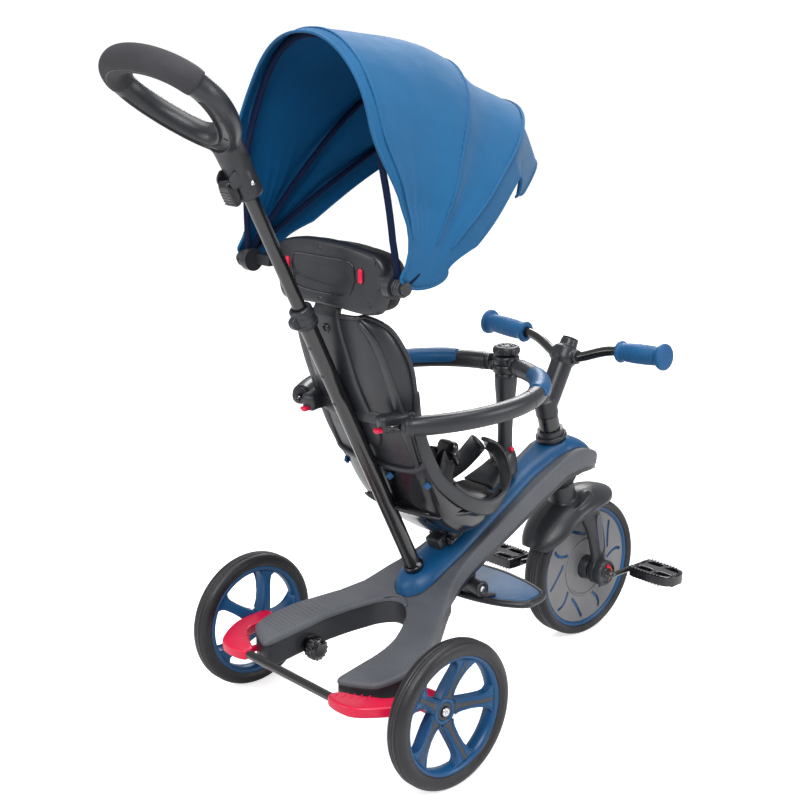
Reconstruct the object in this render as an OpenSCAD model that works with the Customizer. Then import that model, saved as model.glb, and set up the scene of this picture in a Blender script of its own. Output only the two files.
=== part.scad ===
// Children's push tricycle with a canopy, a safety ring and a telescopic push bar.
// Millimetres. +X is forward, +Y is the rider's left, +Z is up, the ground is z = 0.

/* [Wheels] */
// Radius of the rear tyres
rear_r = 100; // [95:1:105]
// Width of the rear tyres
rear_w = 28; // [24:1:32]
// Radius of the rear rims where the tyre sits
rear_rim_r = 81; // [76:1:85]
// Distance between the middles of the rear tyres
track = 416; // [410:1:430]
// Radius of the front tyre
front_r = 112; // [108:1:115]
// Width of the front tyre
front_w = 40; // [36:1:42]
// Radius of the front rim where the tyre sits
front_rim_r = 99; // [96:1:101]
// Distance between the rear and the front axle
wheelbase = 495; // [490:1:500]
// Number of spokes of a rear wheel
spokes = 5; // [4:1:6]

/* [Frame] */
// Slope of the spine above the ground, degrees
spine_slope = 25.5; // [24:0.5:27]
// Depth of the frame below its deck
frame_depth = 46; // [40:1:50]
// Lean of the steering axis from the vertical, degrees
head_tilt = 16; // [14:0.5:18]
// Where the steering axis meets the height of the front axle
head_foot_x = 485; // [482:1:488]
// Outer radius of the steerer tube
steerer_r = 16; // [15:0.5:17]

/* [Push bar] */
// Lean of the push bar from the vertical, degrees
bar_lean = 26.3; // [25:0.1:27.5]
// Radius of the lower tube
bar_lower_r = 11.5; // [11:0.5:12]
// Radius of the upper tube
bar_upper_r = 9; // [8:0.5:9.5]
// Travel of the telescopic tube
bar_travel = 90; // [40:5:100]

/* [Seat and ring] */
// Half width of the seat shell at the hips
seat_half_w = 88; // [84:1:92]
// Height of the safety ring's middle at the front post
ring_z = 471; // [466:1:476]
// Radius of the safety ring's tube
ring_tube_r = 12; // [10:0.5:12]
// Backward tilt of the safety ring, degrees
ring_tilt = 3; // [0:0.5:4]

/* [Canopy] */
// Half width of the canopy between its pivots
canopy_half_w = 153; // [148:1:156]
// Height of the canopy pivots
canopy_pivot_z = 646; // [640:1:652]

/* [Hidden] */
fit = 0.05;              // radial clearance of a running fit
rear_axle_x = -149.1;     // puts the middle of the whole tricycle over the origin
axle_z = rear_r;
hub_y = track / 2;
hub_face = hub_y + 8;    // outer end of a rear hub
axle_r = 6;
axle_boss_r = 14;
axle_start = 61;         // inner end of a stub axle
steer_dir = [-sin(head_tilt), 0, cos(head_tilt)];
bush_r = steerer_r + 4;
neck_top_z = 262;        // top of the fork's neck on the steering axis
neck_split_z = 376;      // where the stem sits on the steerer tube
steerer_l = (neck_split_z - 240) / cos(head_tilt);
post_r = 12;
stem_foot = [409, 0, 397];
stem_dir = [0.475, 0, 0.88];
crank_l = 60;
pedal_y = 111;
pedal_pin_r = 4;
disc_r = front_rim_r - 7;
button_r = 3;

bar_dir = [-sin(bar_lean), 0, cos(bar_lean)];
bar_foot = [133, 0, 205];
bar_collar_s = 440;      // distance along the bar to the top of the lower tube
button_s = 9;             // distance along the bar to its locking pin
bar_sleeve_s = 610;      // distance along the bar to the handle's sleeve
tube_start_s = bar_collar_s - bar_travel - 40;
loop_c = [-235, 0, 867]; // middle of the handle's loop
loop_tilt = 39;          // slope of the loop's plane
loop_half_w = 75;
loop_half_l = 75;
loop_flare = 0.3;        // how much wider the loop is at its back
loop_r = 16;
foam_from = 25;
foam_to = 155;

post_x = 316;
ring_pin_r = 12;
ring_front_r = 157;
ring_rear_r = 215;
ring_rear_a = 42;
ring_back = 160;         // from the post back to the centre of the ring's front arc
ring_end = [ring_rear_r * cos(90 + ring_rear_a) - ring_back,
    ring_rear_r * sin(90 + ring_rear_a) + ring_front_r - ring_rear_r];
ring_open_dir = 71.6;    // direction in which the ring's ends leave the seat
peg_r = 4.5;
plate_half_w = 25;
lever_pivot = [186, -20, 231];
lever_pin_r = 3;

canopy_pivot_x = -33;
canopy_pin_r = 4;
bow_step = 4.5;          // how much wider each bow is than the one behind it
bow_rear = 293;
bow_middle = 315.5;
bow_front = 371.7;
lean_rear = -0.6;
lean_middle = 38.4;
lean_front = 57.3;

footrest_x = 222;
footrest_z = 160;
foot_pin_r = 5;

// ---------- helpers ----------

// Moves from the rear-axle frame to the row frame.
module from_axle() {
    translate([rear_axle_x, 0, 0]) children();
}

module both_sides() {
    for (side = [-1, 1]) scale_y(side) children();
}

// Mirrors to the right-hand side when side is -1.
module scale_y(side) {
    if (side < 0) mirror([0, 1, 0]) children();
    else children();
}

// Puts a child drawn along +Z on the direction d, a unit vector in the XZ plane.
module along(p, d) {
    translate(p) rotate([0, atan2(d[0], d[2]), 0]) children();
}

// Round bar between two points.
module rod(p, q, r) {
    v = q - p;
    l = norm(v);
    translate(p) rotate([0, acos(v[2] / l), atan2(v[1], v[0])]) cylinder(h = l, r = r, $fn = 48);
}

// Cylinder along Y centred on y.
module axle_y(x, y, z, r, w) {
    translate([x, y + w / 2, z]) rotate([90, 0, 0]) cylinder(h = w, r = r, $fn = 64);
}

// Extrudes an XZ outline over the width w, centred on y = 0.
module side_slab(points, w) {
    translate([0, w / 2, 0]) rotate([90, 0, 0]) linear_extrude(w) polygon(points);
}

// Extrudes a YZ outline over the depth d, from x forwards.
module back_slab(points, x, d) {
    translate([x, 0, 0]) rotate([90, 0, 90]) linear_extrude(d) polygon(points);
}

function reversed(points) = [for (i = [len(points) - 1:-1:0]) points[i]];

// Mirrors a plan outline given on the left side (+Y) into a closed one.
function mirrored(points) = concat(points, [for (p = reversed(points)) [p[0], -p[1]]]);

// Mirrors a YZ outline given on the left side into a closed one.
function side_mirrored(points) = concat(points, [for (p = reversed(points)) [-p[0], p[1]]]);

// Skin through equal rings of points, with flat ends.
module skin(rings) {
    n = len(rings[0]);
    m = len(rings);
    polyhedron(
        points = [for (ring = rings) each ring],
        faces = concat(
            [[for (i = [0:n - 1]) i]],
            [for (k = [0:m - 2]) for (i = [0:n - 1]) let (j = (i + 1) % n)
                each [[k * n + i, (k + 1) * n + i, (k + 1) * n + j], [k * n + i, (k + 1) * n + j, k * n + j]]],
            [[for (i = [n - 1:-1:0]) (m - 1) * n + i]]));
}

// Circle of points around p, square to the direction d; ref is any vector across d.
function ring_at(p, d, ref, r) = let (
    u = cross(d, ref) / norm(cross(d, ref)),
    v = cross(u, d) / norm(d))
    [for (a = [0:24:359]) p + r * (cos(a) * u - sin(a) * v)];

// Round bar swept through a list of points.
module bent_rod(points, r, ref) {
    last = len(points) - 1;
    skin([for (i = [0:last]) ring_at(points[i], points[min(i + 1, last)] - points[max(i - 1, 0)], ref, r)]);
}

// Closed sheet between two grids of points with the same layout.
module sheet_solid(outer, inner) {
    n = len(outer[0]);
    m = len(outer);
    q = n * m;
    polyhedron(
        points = concat([for (row = outer) each row], [for (row = inner) each row]),
        faces = concat(
            [for (k = [0:m - 2]) for (i = [0:n - 2]) let (a = k * n + i, b = a + n)
                each [[a, b + 1, b], [a, a + 1, b + 1], [q + a, q + b, q + b + 1], [q + a, q + b + 1, q + a + 1]]],
            [for (i = [0:n - 2]) for (k = [0, m - 1]) let (a = k * n + i)
                each k == 0 ? [[a, q + a + 1, a + 1], [a, q + a, q + a + 1]]
                    : [[a, a + 1, q + a + 1], [a, q + a + 1, q + a]]],
            [for (k = [0:m - 2]) for (i = [0, n - 1]) let (a = k * n + i, b = a + n)
                each i == 0 ? [[a, b, q + b], [a, q + b, q + a]]
                    : [[a, q + b, b], [a, q + a, q + b]]]));
}

// Tyre section from the rim's radius out to the tread, with rounded shoulders.
function tyre_profile(r_in, r_out, w) = let (h = r_out - r_in, e = w / 2)
    [[r_in, -e + 2], [r_in + h * 0.3, -e], [r_out - h * 0.3, -e], [r_out - h * 0.08, -e * 0.7],
    [r_out, -e * 0.35], [r_out, e * 0.35], [r_out - h * 0.08, e * 0.7], [r_out - h * 0.3, e],
    [r_in + h * 0.3, e], [r_in, e - 2]];

// Upper half of a rounded bow of half width a and height b.
function bow(a, b, t) = [a * sign(cos(t)) * pow(abs(cos(t)), 2 / 2.23), b * pow(abs(sin(t)), 2 / 2.23)];

function deck_z(x) = lookup(x, deck_top);
function steer_at(z) = [head_foot_x - (z - front_r) * tan(head_tilt), 0, z];
function bar_at(s) = bar_foot + s * bar_dir;

// Middle line of the handle's loop: 90 degrees is its back, 270 the neck.
function loop_point(t) = loop_c
    + loop_half_l * sin(t) * [-cos(loop_tilt), 0, sin(loop_tilt)]
    + [0, loop_half_w * cos(t) * (1 + loop_flare * sin(t)), 0];

// ---------- frame ----------

// Outer edge of the Y-shaped plan on the left side, from the arm's end to the nose.
plan_outer = [[-62, 118], [-52, 132], [-20, 139], [0, 138], [20, 133.5], [40, 125], [60, 113],
    [80, 101], [100, 89], [120, 77], [140, 66], [165, 55], [200, 46], [260, 42], [400, 42],
    [440, 46], [470, 44], [495, 32], [508, 14]];
// Inner edge of the left arm, from the fork of the Y back past the arm's end.
plan_inner = [[99, 20], [90, 31], [80, 39.5], [60, 51.5], [40, 61.5], [20, 67.5], [0, 69.6],
    [-20, 71], [-80, 74]];
// Top of the deck in side view.
deck_top = [[-64, 130], [-20, 135.5], [0, 138], [40, 146], [80, 156.5], [110, 168], [140, 187],
    [170, 202], [300, 264], [418, 322], [450, 324], [480, 314], [510, 297]];

// Depths below the deck's top line: the skin is thin on the arms and deep along the spine.
no_depth = function (x) 0;
skin_depth = function (x) x < 110 ? 9 : x < 160 ? 9 + (x - 110) * 0.54 : x < 440 ? 36 : 36 - (x - 440) * 0.3;
shell_depth = function (x) x < 440 ? frame_depth : frame_depth - (x - 440) * 0.3;

module frame_plan() {
    linear_extrude(400) difference() {
        polygon(mirrored(plan_outer));
        polygon(concat([[104, 0]], mirrored(plan_inner)));
    }
}

// Layer of the frame between two depths below the deck's top line.
module frame_layer(from_depth, to_depth) {
    intersection() {
        frame_plan();
        side_slab(concat(
            [for (p = deck_top) [p[0], p[1] - from_depth(p[0])]],
            [for (i = [len(deck_top) - 1:-1:0]) let (p = deck_top[i]) [p[0], p[1] - to_depth(p[0])]]), 400);
    }
}

// Bore for the steerer's bushes and for the push bar's foot.
module frame_bores() {
    along(steer_at(230), steer_dir) cylinder(h = 160, r = bush_r, $fn = 64);
    along(bar_at(-30), bar_dir) cylinder(h = 90, r = bar_lower_r, $fn = 64);
}

module axle_bosses(r) {
    both_sides() axle_y(0, 105, axle_z, r, 90);
}

module frame_shell() {
    color("#1b1c1f") from_axle() difference() {
        union() {
            frame_layer(skin_depth, shell_depth);
            along(steer_at(neck_top_z) + steer_dir, steer_dir) cylinder(h = 22, r = 22, $fn = 64);
        }
        frame_layer(no_depth, skin_depth);
        frame_bores();
        axle_bosses(axle_boss_r);
    }
}

module frame_deck() {
    color("#55585f") from_axle() difference() {
        frame_layer(no_depth, skin_depth);
        frame_bores();
        axle_bosses(axle_boss_r);
    }
}

// Cover over the spine, from the push bar's socket to the steering collar.
cover_side = [[96, 163], [118, 196], [150, 211], [400, 331], [418, 342], [440, 342], [470, 329],
    [494, 310]];
cover_plan = [[98, 10], [104, 22], [116, 31], [135, 34], [200, 33.5], [280, 28], [360, 23], [400, 27],
    [425, 34], [455, 34], [478, 26], [492, 12]];

module spine_cover() {
    color("#1a5f93") from_axle() difference() {
        intersection() {
            linear_extrude(400) polygon(mirrored(cover_plan));
            side_slab(concat([[94, 120], [496, 200]], reversed(cover_side)), 100);
        }
        side_slab(concat([[-80, 0], [-80, 120]], deck_top, [[512, 0]]), 120);
        frame_bores();
    }
}

// Lower and upper bush of the steering head; the upper one shows as a collar.
module head_bushes() {
    color("#2a2a2c") from_axle() {
        along(steer_at(neck_top_z) + 2 * steer_dir, steer_dir) difference() {
            cylinder(h = 20, r = bush_r, $fn = 64);
            translate([0, 0, -1]) cylinder(h = 22, r = steerer_r + fit, $fn = 64);
        }
        along(steer_at(322), steer_dir) difference() {
            cylinder(h = 33, r = bush_r, $fn = 64);
            translate([0, 0, -1]) cylinder(h = 35, r = steerer_r + fit, $fn = 64);
        }
    }
}

// Steel stub axles that carry the rear wheels and the brake pedals.
module rear_axles() {
    color("silver") from_axle() both_sides() axle_y(0, (axle_start + hub_face + 1) / 2, axle_z, axle_r, hub_face + 1 - axle_start);
}

// Round bosses moulded around the stub axles inside the arms, with ribbed inner ends.
module axle_knobs() {
    color("#202124") from_axle() difference() {
        union() {
            axle_bosses(axle_boss_r);
            both_sides() for (k = [0:2]) axle_y(0, 55 + k * 4, axle_z, axle_boss_r + 1.5, 2);
            both_sides() axle_y(0, 57, axle_z, axle_boss_r, 10);
        }
        both_sides() axle_y(0, 110, axle_z, axle_r, 100);
    }
}

// Bolt heads on the ends of the stub axles and screw heads under the arms.
module fixings() {
    color("silver") from_axle() {
        both_sides() axle_y(0, hub_face + 3, axle_z, 8, 4);
        difference() {
            both_sides() for (x = [-20, 20]) translate([x, 108, deck_z(x) - frame_depth - 3])
                cylinder(h = 8, r = 4, $fn = 32);
            frame_layer(no_depth, shell_depth);
        }
    }
}

// Lug under the spine that holds the footrest's hinge pin.
module footrest_bracket() {
    color("#1b1c1f") from_axle() difference() {
        union() {
            side_slab([[212, 160], [212, 200], [232, 200], [232, 160]], 50);
            axle_y(footrest_x, 0, footrest_z, 10, 50);
        }
        side_slab(concat([for (p = deck_top) [p[0], p[1] - shell_depth(p[0])]], [[512, 400], [-80, 400]]), 60);
        axle_y(footrest_x, 0, footrest_z, foot_pin_r + fit, 60);
    }
}

// ---------- push bar ----------

module push_lower_tube() {
    color("#161618") from_axle() along(bar_at(-30), bar_dir) difference() {
        cylinder(h = bar_collar_s + 30, r = bar_lower_r, $fn = 64);
        translate([0, 0, 20]) cylinder(h = bar_collar_s + 20, r = bar_upper_r + 1, $fn = 64);
        translate([0, 0, 30 + button_s]) rotate([90, 0, 0]) cylinder(h = 20, r = button_r + fit, $fn = 32);
    }
}

// Clamp collar on top of the lower tube, with its tab.
module push_collar() {
    color("#1d1e21") from_axle() along(bar_at(bar_collar_s - 22), bar_dir) difference() {
        union() {
            cylinder(h = 28, r = bar_lower_r + 3.5, $fn = 64);
            translate([-bar_lower_r - 9, -5, 4]) cube([8, 10, 14]);
        }
        translate([0, 0, -1]) cylinder(h = 23, r = bar_lower_r, $fn = 64);
        translate([0, 0, 20]) cylinder(h = 10, r = bar_upper_r + fit, $fn = 64);
    }
}

module push_upper_tube() {
    color("#161618") from_axle() along(bar_at(tube_start_s), bar_dir)
        cylinder(h = bar_sleeve_s + 20 - tube_start_s, r = bar_upper_r, $fn = 64);
}

// Sprung pin that locks the push bar in its socket.
module push_button() {
    color("silver") from_axle() along(bar_at(button_s), bar_dir) rotate([90, 0, 0])
        translate([0, 0, bar_upper_r + 1.2]) cylinder(h = 4.5, r = button_r, $fn = 32);
}

// Part of the loop between two angles, as a tube of radius r.
module loop_tube(r, from, to) {
    skin([for (t = [from:10:to]) ring_at(loop_point(t), loop_point(t + 1) - loop_point(t - 1),
        [sin(loop_tilt), 0, cos(loop_tilt)], r)]);
}

module handle_body() {
    color("#1a1b1e") from_axle() difference() {
        union() {
            loop_tube(loop_r - 2, foam_to, foam_from + 360);
            loop_tube(loop_r - 6, foam_from - 10, foam_to + 10);
            rod(bar_at(bar_sleeve_s + 34), loop_point(270), 17);
            along(bar_at(bar_sleeve_s), bar_dir) cylinder(h = 36, r = 18, $fn = 64);
            along(bar_at(bar_sleeve_s), bar_dir) for (y = [-15, 11]) translate([-30, y, 26]) cube([20, 4, 10]);
        }
        along(bar_at(bar_sleeve_s - 1), bar_dir) cylinder(h = 21, r = bar_upper_r, $fn = 64);
        along(bar_at(bar_sleeve_s + 31), bar_dir) translate([-25, 0, 0]) axle_y(0, 0, 0, 2.5 + fit, 34);
    }
}

// Soft sleeve over the back of the loop.
module handle_foam() {
    color("#2c2c30") from_axle() difference() {
        loop_tube(loop_r, foam_from, foam_to);
        loop_tube(loop_r - 6, foam_from - 10, foam_to + 10);
    }
}

// Release lever on the back of the handle's sleeve, hinged at its top.
module handle_lever() {
    color("#111214") from_axle() along(bar_at(bar_sleeve_s + 31), bar_dir) {
        translate([-30, -10, -27]) cube([11, 20, 30]);
        translate([-25, 0, 0]) axle_y(0, 0, 0, 2.5, 29);
    }
}

// ---------- rear wheels and brake ----------

module rear_tyre(side) {
    color("#1c1c1e") from_axle() translate([0, side * hub_y, axle_z]) rotate([90, 0, 0])
        rotate_extrude($fn = 128) polygon(tyre_profile(rear_rim_r, rear_r, rear_w));
}
module rear_tyre_left() { rear_tyre(1); }
module rear_tyre_right() { rear_tyre(-1); }

// Barrel, hub and curved spokes in one moulding.
module rear_rim(side) {
    color("#1f6296") from_axle() scale_y(side) translate([0, hub_y, axle_z]) rotate([90, 0, 0]) difference() {
        union() {
            translate([0, 0, -rear_w / 2 + 2]) difference() {
                cylinder(h = rear_w - 4, r = rear_rim_r, $fn = 128);
                translate([0, 0, -1]) cylinder(h = rear_w, r = rear_rim_r - 12, $fn = 128);
            }
            translate([0, 0, hub_y - hub_face]) cylinder(h = 20, r = 18, $fn = 64);
            for (k = [0:spokes - 1]) rotate([0, 0, k * 360 / spokes]) translate([0, 0, -7])
                linear_extrude(14) polygon([[12, -7], [34, -7], [52, -9], [rear_rim_r - 10, -18],
                    [rear_rim_r - 10, 8], [52, 8], [34, 8], [12, 8]]);
        }
        translate([0, 0, -30]) cylinder(h = 60, r = axle_r + fit, $fn = 64);
    }
}
module rear_rim_left() { rear_rim(1); }
module rear_rim_right() { rear_rim(-1); }

// Foot plates of the parking brake, each with a bearing on the stub axle.
module brake_pedals() {
    color("#c8102e") from_axle() both_sides() difference() {
        union() {
            translate([0, 0, 104]) linear_extrude(14) polygon([[-105, 88], [-107, 138], [-50, 182],
                [7, 186], [7, 154], [-30, 154], [-58, 144], [-69, 124], [-80, 104], [-86, 88]]);
            axle_y(0, 170, axle_z, 13, 36);
        }
        axle_y(0, 170, axle_z, axle_r + fit, 60);
    }
}

module brake_rod() {
    color("#2b2b2d") from_axle() axle_y(-95, 0, 111, 6, 176);
}

// ---------- front wheel, fork and cranks ----------

module front_tyre() {
    color("#1c1c1e") from_axle() translate([wheelbase, 0, front_r]) rotate([90, 0, 0])
        rotate_extrude($fn = 128) polygon(tyre_profile(front_rim_r, front_r, front_w));
}

module front_rim() {
    color("#1f6296") from_axle() difference() {
        union() {
            axle_y(wheelbase, 0, front_r, front_rim_r, 28);
            axle_y(wheelbase, 0, front_r, 18, 56);
        }
        both_sides() axle_y(wheelbase, 30, front_r, disc_r, 38);
        axle_y(wheelbase, 0, front_r, axle_r + fit, 80);
    }
}

// Grey cover discs in the rim, one on each side.
module front_discs() {
    color("#77787b") from_axle() both_sides() difference() {
        axle_y(wheelbase, 12.5, front_r, disc_r, 3);
        axle_y(wheelbase, 12.5, front_r, 18, 10);
    }
}

crown_arc = [for (t = [54:8:126]) [wheelbase + 134 * cos(t), front_r + 134 * sin(t)]];
leg_outline = [[426, 222], [478, 238], [497, 200], [508, 150], [516, 112], [510, 96], [495, 90],
    [481, 96], [475, 112], [470, 150], [452, 200]];

module fork() {
    color("#1a1a1d") from_axle() difference() {
        union() {
            side_slab(concat(crown_arc, [[wheelbase - 60, front_r + 90], [wheelbase + 60, front_r + 90]]), 84);
            both_sides() translate([0, 37, 0]) side_slab(leg_outline, 14);
            along(steer_at(236), steer_dir) cylinder(h = (neck_top_z - 236) / cos(head_tilt), r = 21.5, $fn = 64);
        }
        axle_y(wheelbase, 0, front_r, front_r + 5, 52);
        axle_y(wheelbase, 0, front_r, axle_r + 0.5, 120);
        along(steer_at(240), steer_dir) cylinder(h = 60, r = steerer_r, $fn = 64);
    }
}

// Dark inlays on the outside of the fork legs.
module fork_inlays() {
    color("#0d0d0f") from_axle() both_sides() translate([0, 44.7, 0])
        side_slab([[474, 196], [487, 196], [499, 142], [484, 142]], 1.4);
}

// Steering tube that turns in the head bushes; the stem slides inside it.
module steerer_tube() {
    color("#1a1a1d") from_axle() along(steer_at(240), steer_dir) difference() {
        cylinder(h = steerer_l, r = steerer_r, $fn = 64);
        translate([0, 0, 20]) cylinder(h = steerer_l, r = post_r + fit, $fn = 64);
    }
}

// Round covers over the crank bearings at the feet of the fork.
module hub_caps() {
    color("#1b1b1e") from_axle() difference() {
        both_sides() axle_y(wheelbase, 51, front_r, 20.5, 14);
        axle_y(wheelbase, 0, front_r, axle_r + fit, 130);
        axle_y(wheelbase, -58, front_r + 13, button_r + fit, 12);
    }
}

// Button that couples the cranks to the wheel or lets it run free.
module freewheel_button() {
    color("#c23a26") from_axle() axle_y(wheelbase, -56.8, front_r + 13, button_r, 5);
}

module crank_shaft() {
    color("#18181a") from_axle() {
        axle_y(wheelbase, 0, front_r, axle_r, 126);
        for (side = [-1, 1]) scale_y(side) {
            translate([wheelbase - (side > 0 ? crank_l : 0), 61, front_r - 6]) cube([crank_l, 8, 12]);
            axle_y(wheelbase, 65, front_r, 9, 8);
            axle_y(wheelbase - side * crank_l, 65, front_r, 8, 8);
            axle_y(wheelbase - side * crank_l, 105, front_r, pedal_pin_r, 76);
        }
    }
}

// Pedal block with four windows, open at its inner end for the crank's pin.
module pedal(side) {
    color("#151517") from_axle() scale_y(side) translate([wheelbase - side * crank_l, pedal_y, front_r])
        difference() {
            linear_extrude(18, center = true) polygon([[-26, -38], [26, -38], [26, 26], [14, 38],
                [-14, 38], [-26, 26]]);
            for (x = [-14, 14]) for (y = [-17, 13]) translate([x - 6, y - 12, -10]) cube([12, 24, 20]);
            translate([0, -5, 0]) axle_y(0, 0, 0, pedal_pin_r + fit, 74);
        }
}
module pedal_left() { pedal(1); }
module pedal_right() { pedal(-1); }

// ---------- handlebar ----------

handlebar_left = [[446, 0, 463], [449, 26, 464], [461, 82, 481], [461, 176, 487]];

module handlebar_rod() {
    bent_rod(concat([for (i = [3:-1:1]) [handlebar_left[i][0], -handlebar_left[i][1], handlebar_left[i][2]]],
        handlebar_left), 7.5, [0, 0, 1]);
}

// Post in the steerer, knuckle and forward-leaning barrel with its cap.
module stem() {
    color("#17181a") from_axle() difference() {
        union() {
            along(steer_at(310), steer_dir) cylinder(h = 80, r = post_r, $fn = 64);
            along(steer_at(neck_split_z) + 0.5 * steer_dir, steer_dir) cylinder(h = 22, r = steerer_r, $fn = 64);
            translate(stem_foot) sphere(r = 18, $fn = 48);
            rod(stem_foot, stem_foot + 88 * stem_dir, 17);
            rod(stem_foot + 84 * stem_dir, stem_foot + 101 * stem_dir, 12.5);
        }
        handlebar_rod();
    }
}

module handlebar_tube() {
    color("#19191b") from_axle() handlebar_rod();
}

module grips() {
    color("#1f6296") from_axle() difference() {
        both_sides() {
            rod([461, 97, 482], [461, 173, 486.8], 14);
            rod([461, 95, 481.9], [461, 99, 482.1], 18);
            rod([461, 169, 486.5], [461, 175, 486.9], 19.5);
        }
        handlebar_rod();
    }
}

// ---------- seat ----------

// Back and underside of the shell in side view, then its front edges up to the top of the back.
shell_back = [[-21, 592], [-13, 550], [5, 500], [29, 450], [53, 400], [78, 350], [102, 300],
    [130, 271], [165, 250], [207, 250], [232, 264], [262, 300]];
shell_front = [[262, 318], [165, 318], [100, 375], [66, 430], [51, 467], [52, 498], [37, 553],
    [18, 577], [-6, 592]];
// Inside of the shell, open upwards and to the front.
shell_hollow = [[-13, 600], [-4, 550], [14, 500], [38, 450], [62, 400], [87, 350], [111, 300],
    [135, 281], [168, 259], [203, 259], [224, 271], [250, 306], [255, 330], [255, 600]];
pad_outline = [[1, 539], [15, 500], [39, 450], [63, 400], [88, 350], [112, 301],
    [136, 282], [168, 260], [202, 260], [223, 272], [248, 306], [238, 312], [214, 286],
    [198, 275], [174, 275], [146, 293], [125, 312], [102, 360], [77, 408], [53, 458], [29, 508],
    [17.5, 539]];

// Plan and rear-view outlines that round the shell off.
shell_plan = [[-40, seat_half_w], [60, seat_half_w], [165, 84], [200, 75], [240, 50], [264, 34]];
shell_rear = [[0, 250], [45, 256], [68, 275], [82, 300], [seat_half_w, 330], [seat_half_w, 520],
    [84, 555], [60, 592]];
hollow_rear = [[0, 257], [43, 263], [62, 281], [75, 303], [81, 332], [81, 620]];
pad_rear = [[0, 258.5], [42, 264], [61, 282], [74, 304], [80, 333], [80, 620]];

module shell_solid() {
    intersection() {
        side_slab(concat(shell_back, shell_front), 2 * seat_half_w);
        translate([0, 0, 200]) linear_extrude(400) polygon(mirrored(shell_plan));
        back_slab(side_mirrored(shell_rear), -60, 400);
    }
}

// Frame of the lever under the seat: X along the spine, Z square to it.
module lever_place() {
    translate(lever_pivot) rotate([0, -spine_slope, 0]) children();
}

// Saddle block between the spine cover and the shell; it slides along the spine.
module seat_base() {
    color("#202124") from_axle() difference() {
        union() {
            side_slab([[172, 223], [238, 254.6], [238, 276], [172, 270]], 28);
            lever_place() translate([-8, -9, 7]) cube([16, 18, 7]);
        }
        shell_solid();
        lever_place() translate([0, 0, -1]) cylinder(h = 20, r = lever_pin_r + fit, $fn = 48);
    }
}

// Lever that unlocks the seat's slide.
module seat_lever() {
    color("#101012") from_axle() lever_place() {
        cylinder(h = 14, r = lever_pin_r, $fn = 48);
        translate([-4, -3.5, 0]) cube([54, 7, 6]);
    }
}

module seat_shell() {
    color("#1a1a1c") from_axle() difference() {
        union() {
            shell_solid();
            both_sides() translate([-4, 68, 440]) cube([40, seat_half_w - 66, 26]);
        }
        intersection() {
            side_slab(shell_hollow, 2 * seat_half_w - 14);
            back_slab(side_mirrored(hollow_rear), -60, 400);
        }
        translate([-40, -plate_half_w, 540]) cube([60, 2 * plate_half_w, 80]);
        both_sides() ring_peg(peg_r + 0.6, 2);
        both_sides() translate([-6, 78, 446]) rotate([0, 90, 0]) cylinder(h = 12, r = button_r + fit, $fn = 32);
    }
}

module seat_pad() {
    color("#232325") from_axle() intersection() {
        side_slab(pad_outline, 156);
        back_slab(side_mirrored(pad_rear), -60, 400);
    }
}

// Shoulder straps, crotch strap and buckle lying on the pad.
module harness() {
    color("#2a2a2e") from_axle() {
        both_sides() translate([0, 38, 0]) side_slab([[30, 509], [54, 459], [78, 409], [103, 361],
            [126, 314], [129, 315], [106, 362], [81, 410], [57, 460], [33, 510]], 26);
        side_slab([[178, 276.5], [182, 276.5], [197, 342], [193, 342]], 26);
        translate([189, -18, 342]) cube([13, 36, 36]);
    }
}

// Pommel with a loop over each thigh; it carries the safety ring's post.
module thigh_guards() {
    color("#17171a") from_axle() {
        translate([262, -26, 305]) cube([34, 52, 12]);
        translate([292, -20, 305]) cube([42, 40, 31]);
        both_sides() bent_rod([[172, 82, 326.5], [215, 80, 326.5], [262, 54, 325], [300, 16, 325]], 8, [0, 0, 1]);
    }
}

module ring_post() {
    color("#17171a") from_axle() translate([post_x, 0, 0]) {
        difference() {
            translate([0, 0, 336]) cylinder(h = 104, r = 11, $fn = 64);
            axle_y(0, -12, 344, button_r + fit, 16);
        }
        translate([0, 0, 440]) cylinder(h = 18, r = 16.5, $fn = 64);
        translate([0, 0, 458]) cylinder(h = 28, r = ring_pin_r, $fn = 64);
        translate([0, 0, 486]) cylinder(h = 12, r = 19, $fn = 64);
    }
}

module post_button() {
    color("#c8102e") from_axle() axle_y(post_x, -10, 344, button_r, 7);
}

// ---------- safety ring ----------

// Puts a child drawn on the left half of the ring's own plane in its place.
module ring_plane() {
    translate([post_x, 0, ring_z]) rotate([0, -ring_tilt, 0]) children();
}

// Arcs of the left half, swept with a 2-D section.
module ring_arc(from, to) {
    translate([-ring_back, 0, 0]) rotate([0, 0, from])
        rotate_extrude(angle = to - from, $fn = 128) translate([ring_front_r, 0]) children();
}

module ring_peg(r, longer) {
    ring_plane() translate([ring_end[0], ring_end[1], 0]) rotate([0, 0, ring_open_dir])
        rotate([0, -90, 0]) cylinder(h = 16 + longer, r = r, $fn = 32);
}

// Half of the ring with its knuckle on the post; low is the bottom of the knuckle.
module ring_half(low) {
    ring_plane() {
        ring_arc(9, 90) circle(r = ring_tube_r, $fn = 48);
        translate([-ring_back, ring_front_r - ring_rear_r, 0]) rotate([0, 0, 90])
            rotate_extrude(angle = ring_rear_a, $fn = 128) translate([ring_rear_r, 0])
                circle(r = ring_tube_r, $fn = 48);
    }
    ring_peg(peg_r, 0);
    difference() {
        union() {
            translate([post_x, 0, low]) cylinder(h = 12, r = 19, $fn = 64);
            translate([post_x - 14, 0, low]) cube([20, 30, 12]);
        }
        translate([post_x, 0, low - 1]) cylinder(h = 14, r = ring_pin_r + fit, $fn = 64);
    }
}

module ring_left() {
    color("#17181a") from_axle() ring_half(ring_z - 12.3);
}
module ring_right() {
    color("#17181a") from_axle() mirror([0, 1, 0]) ring_half(ring_z + 0.3);
}

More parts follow.
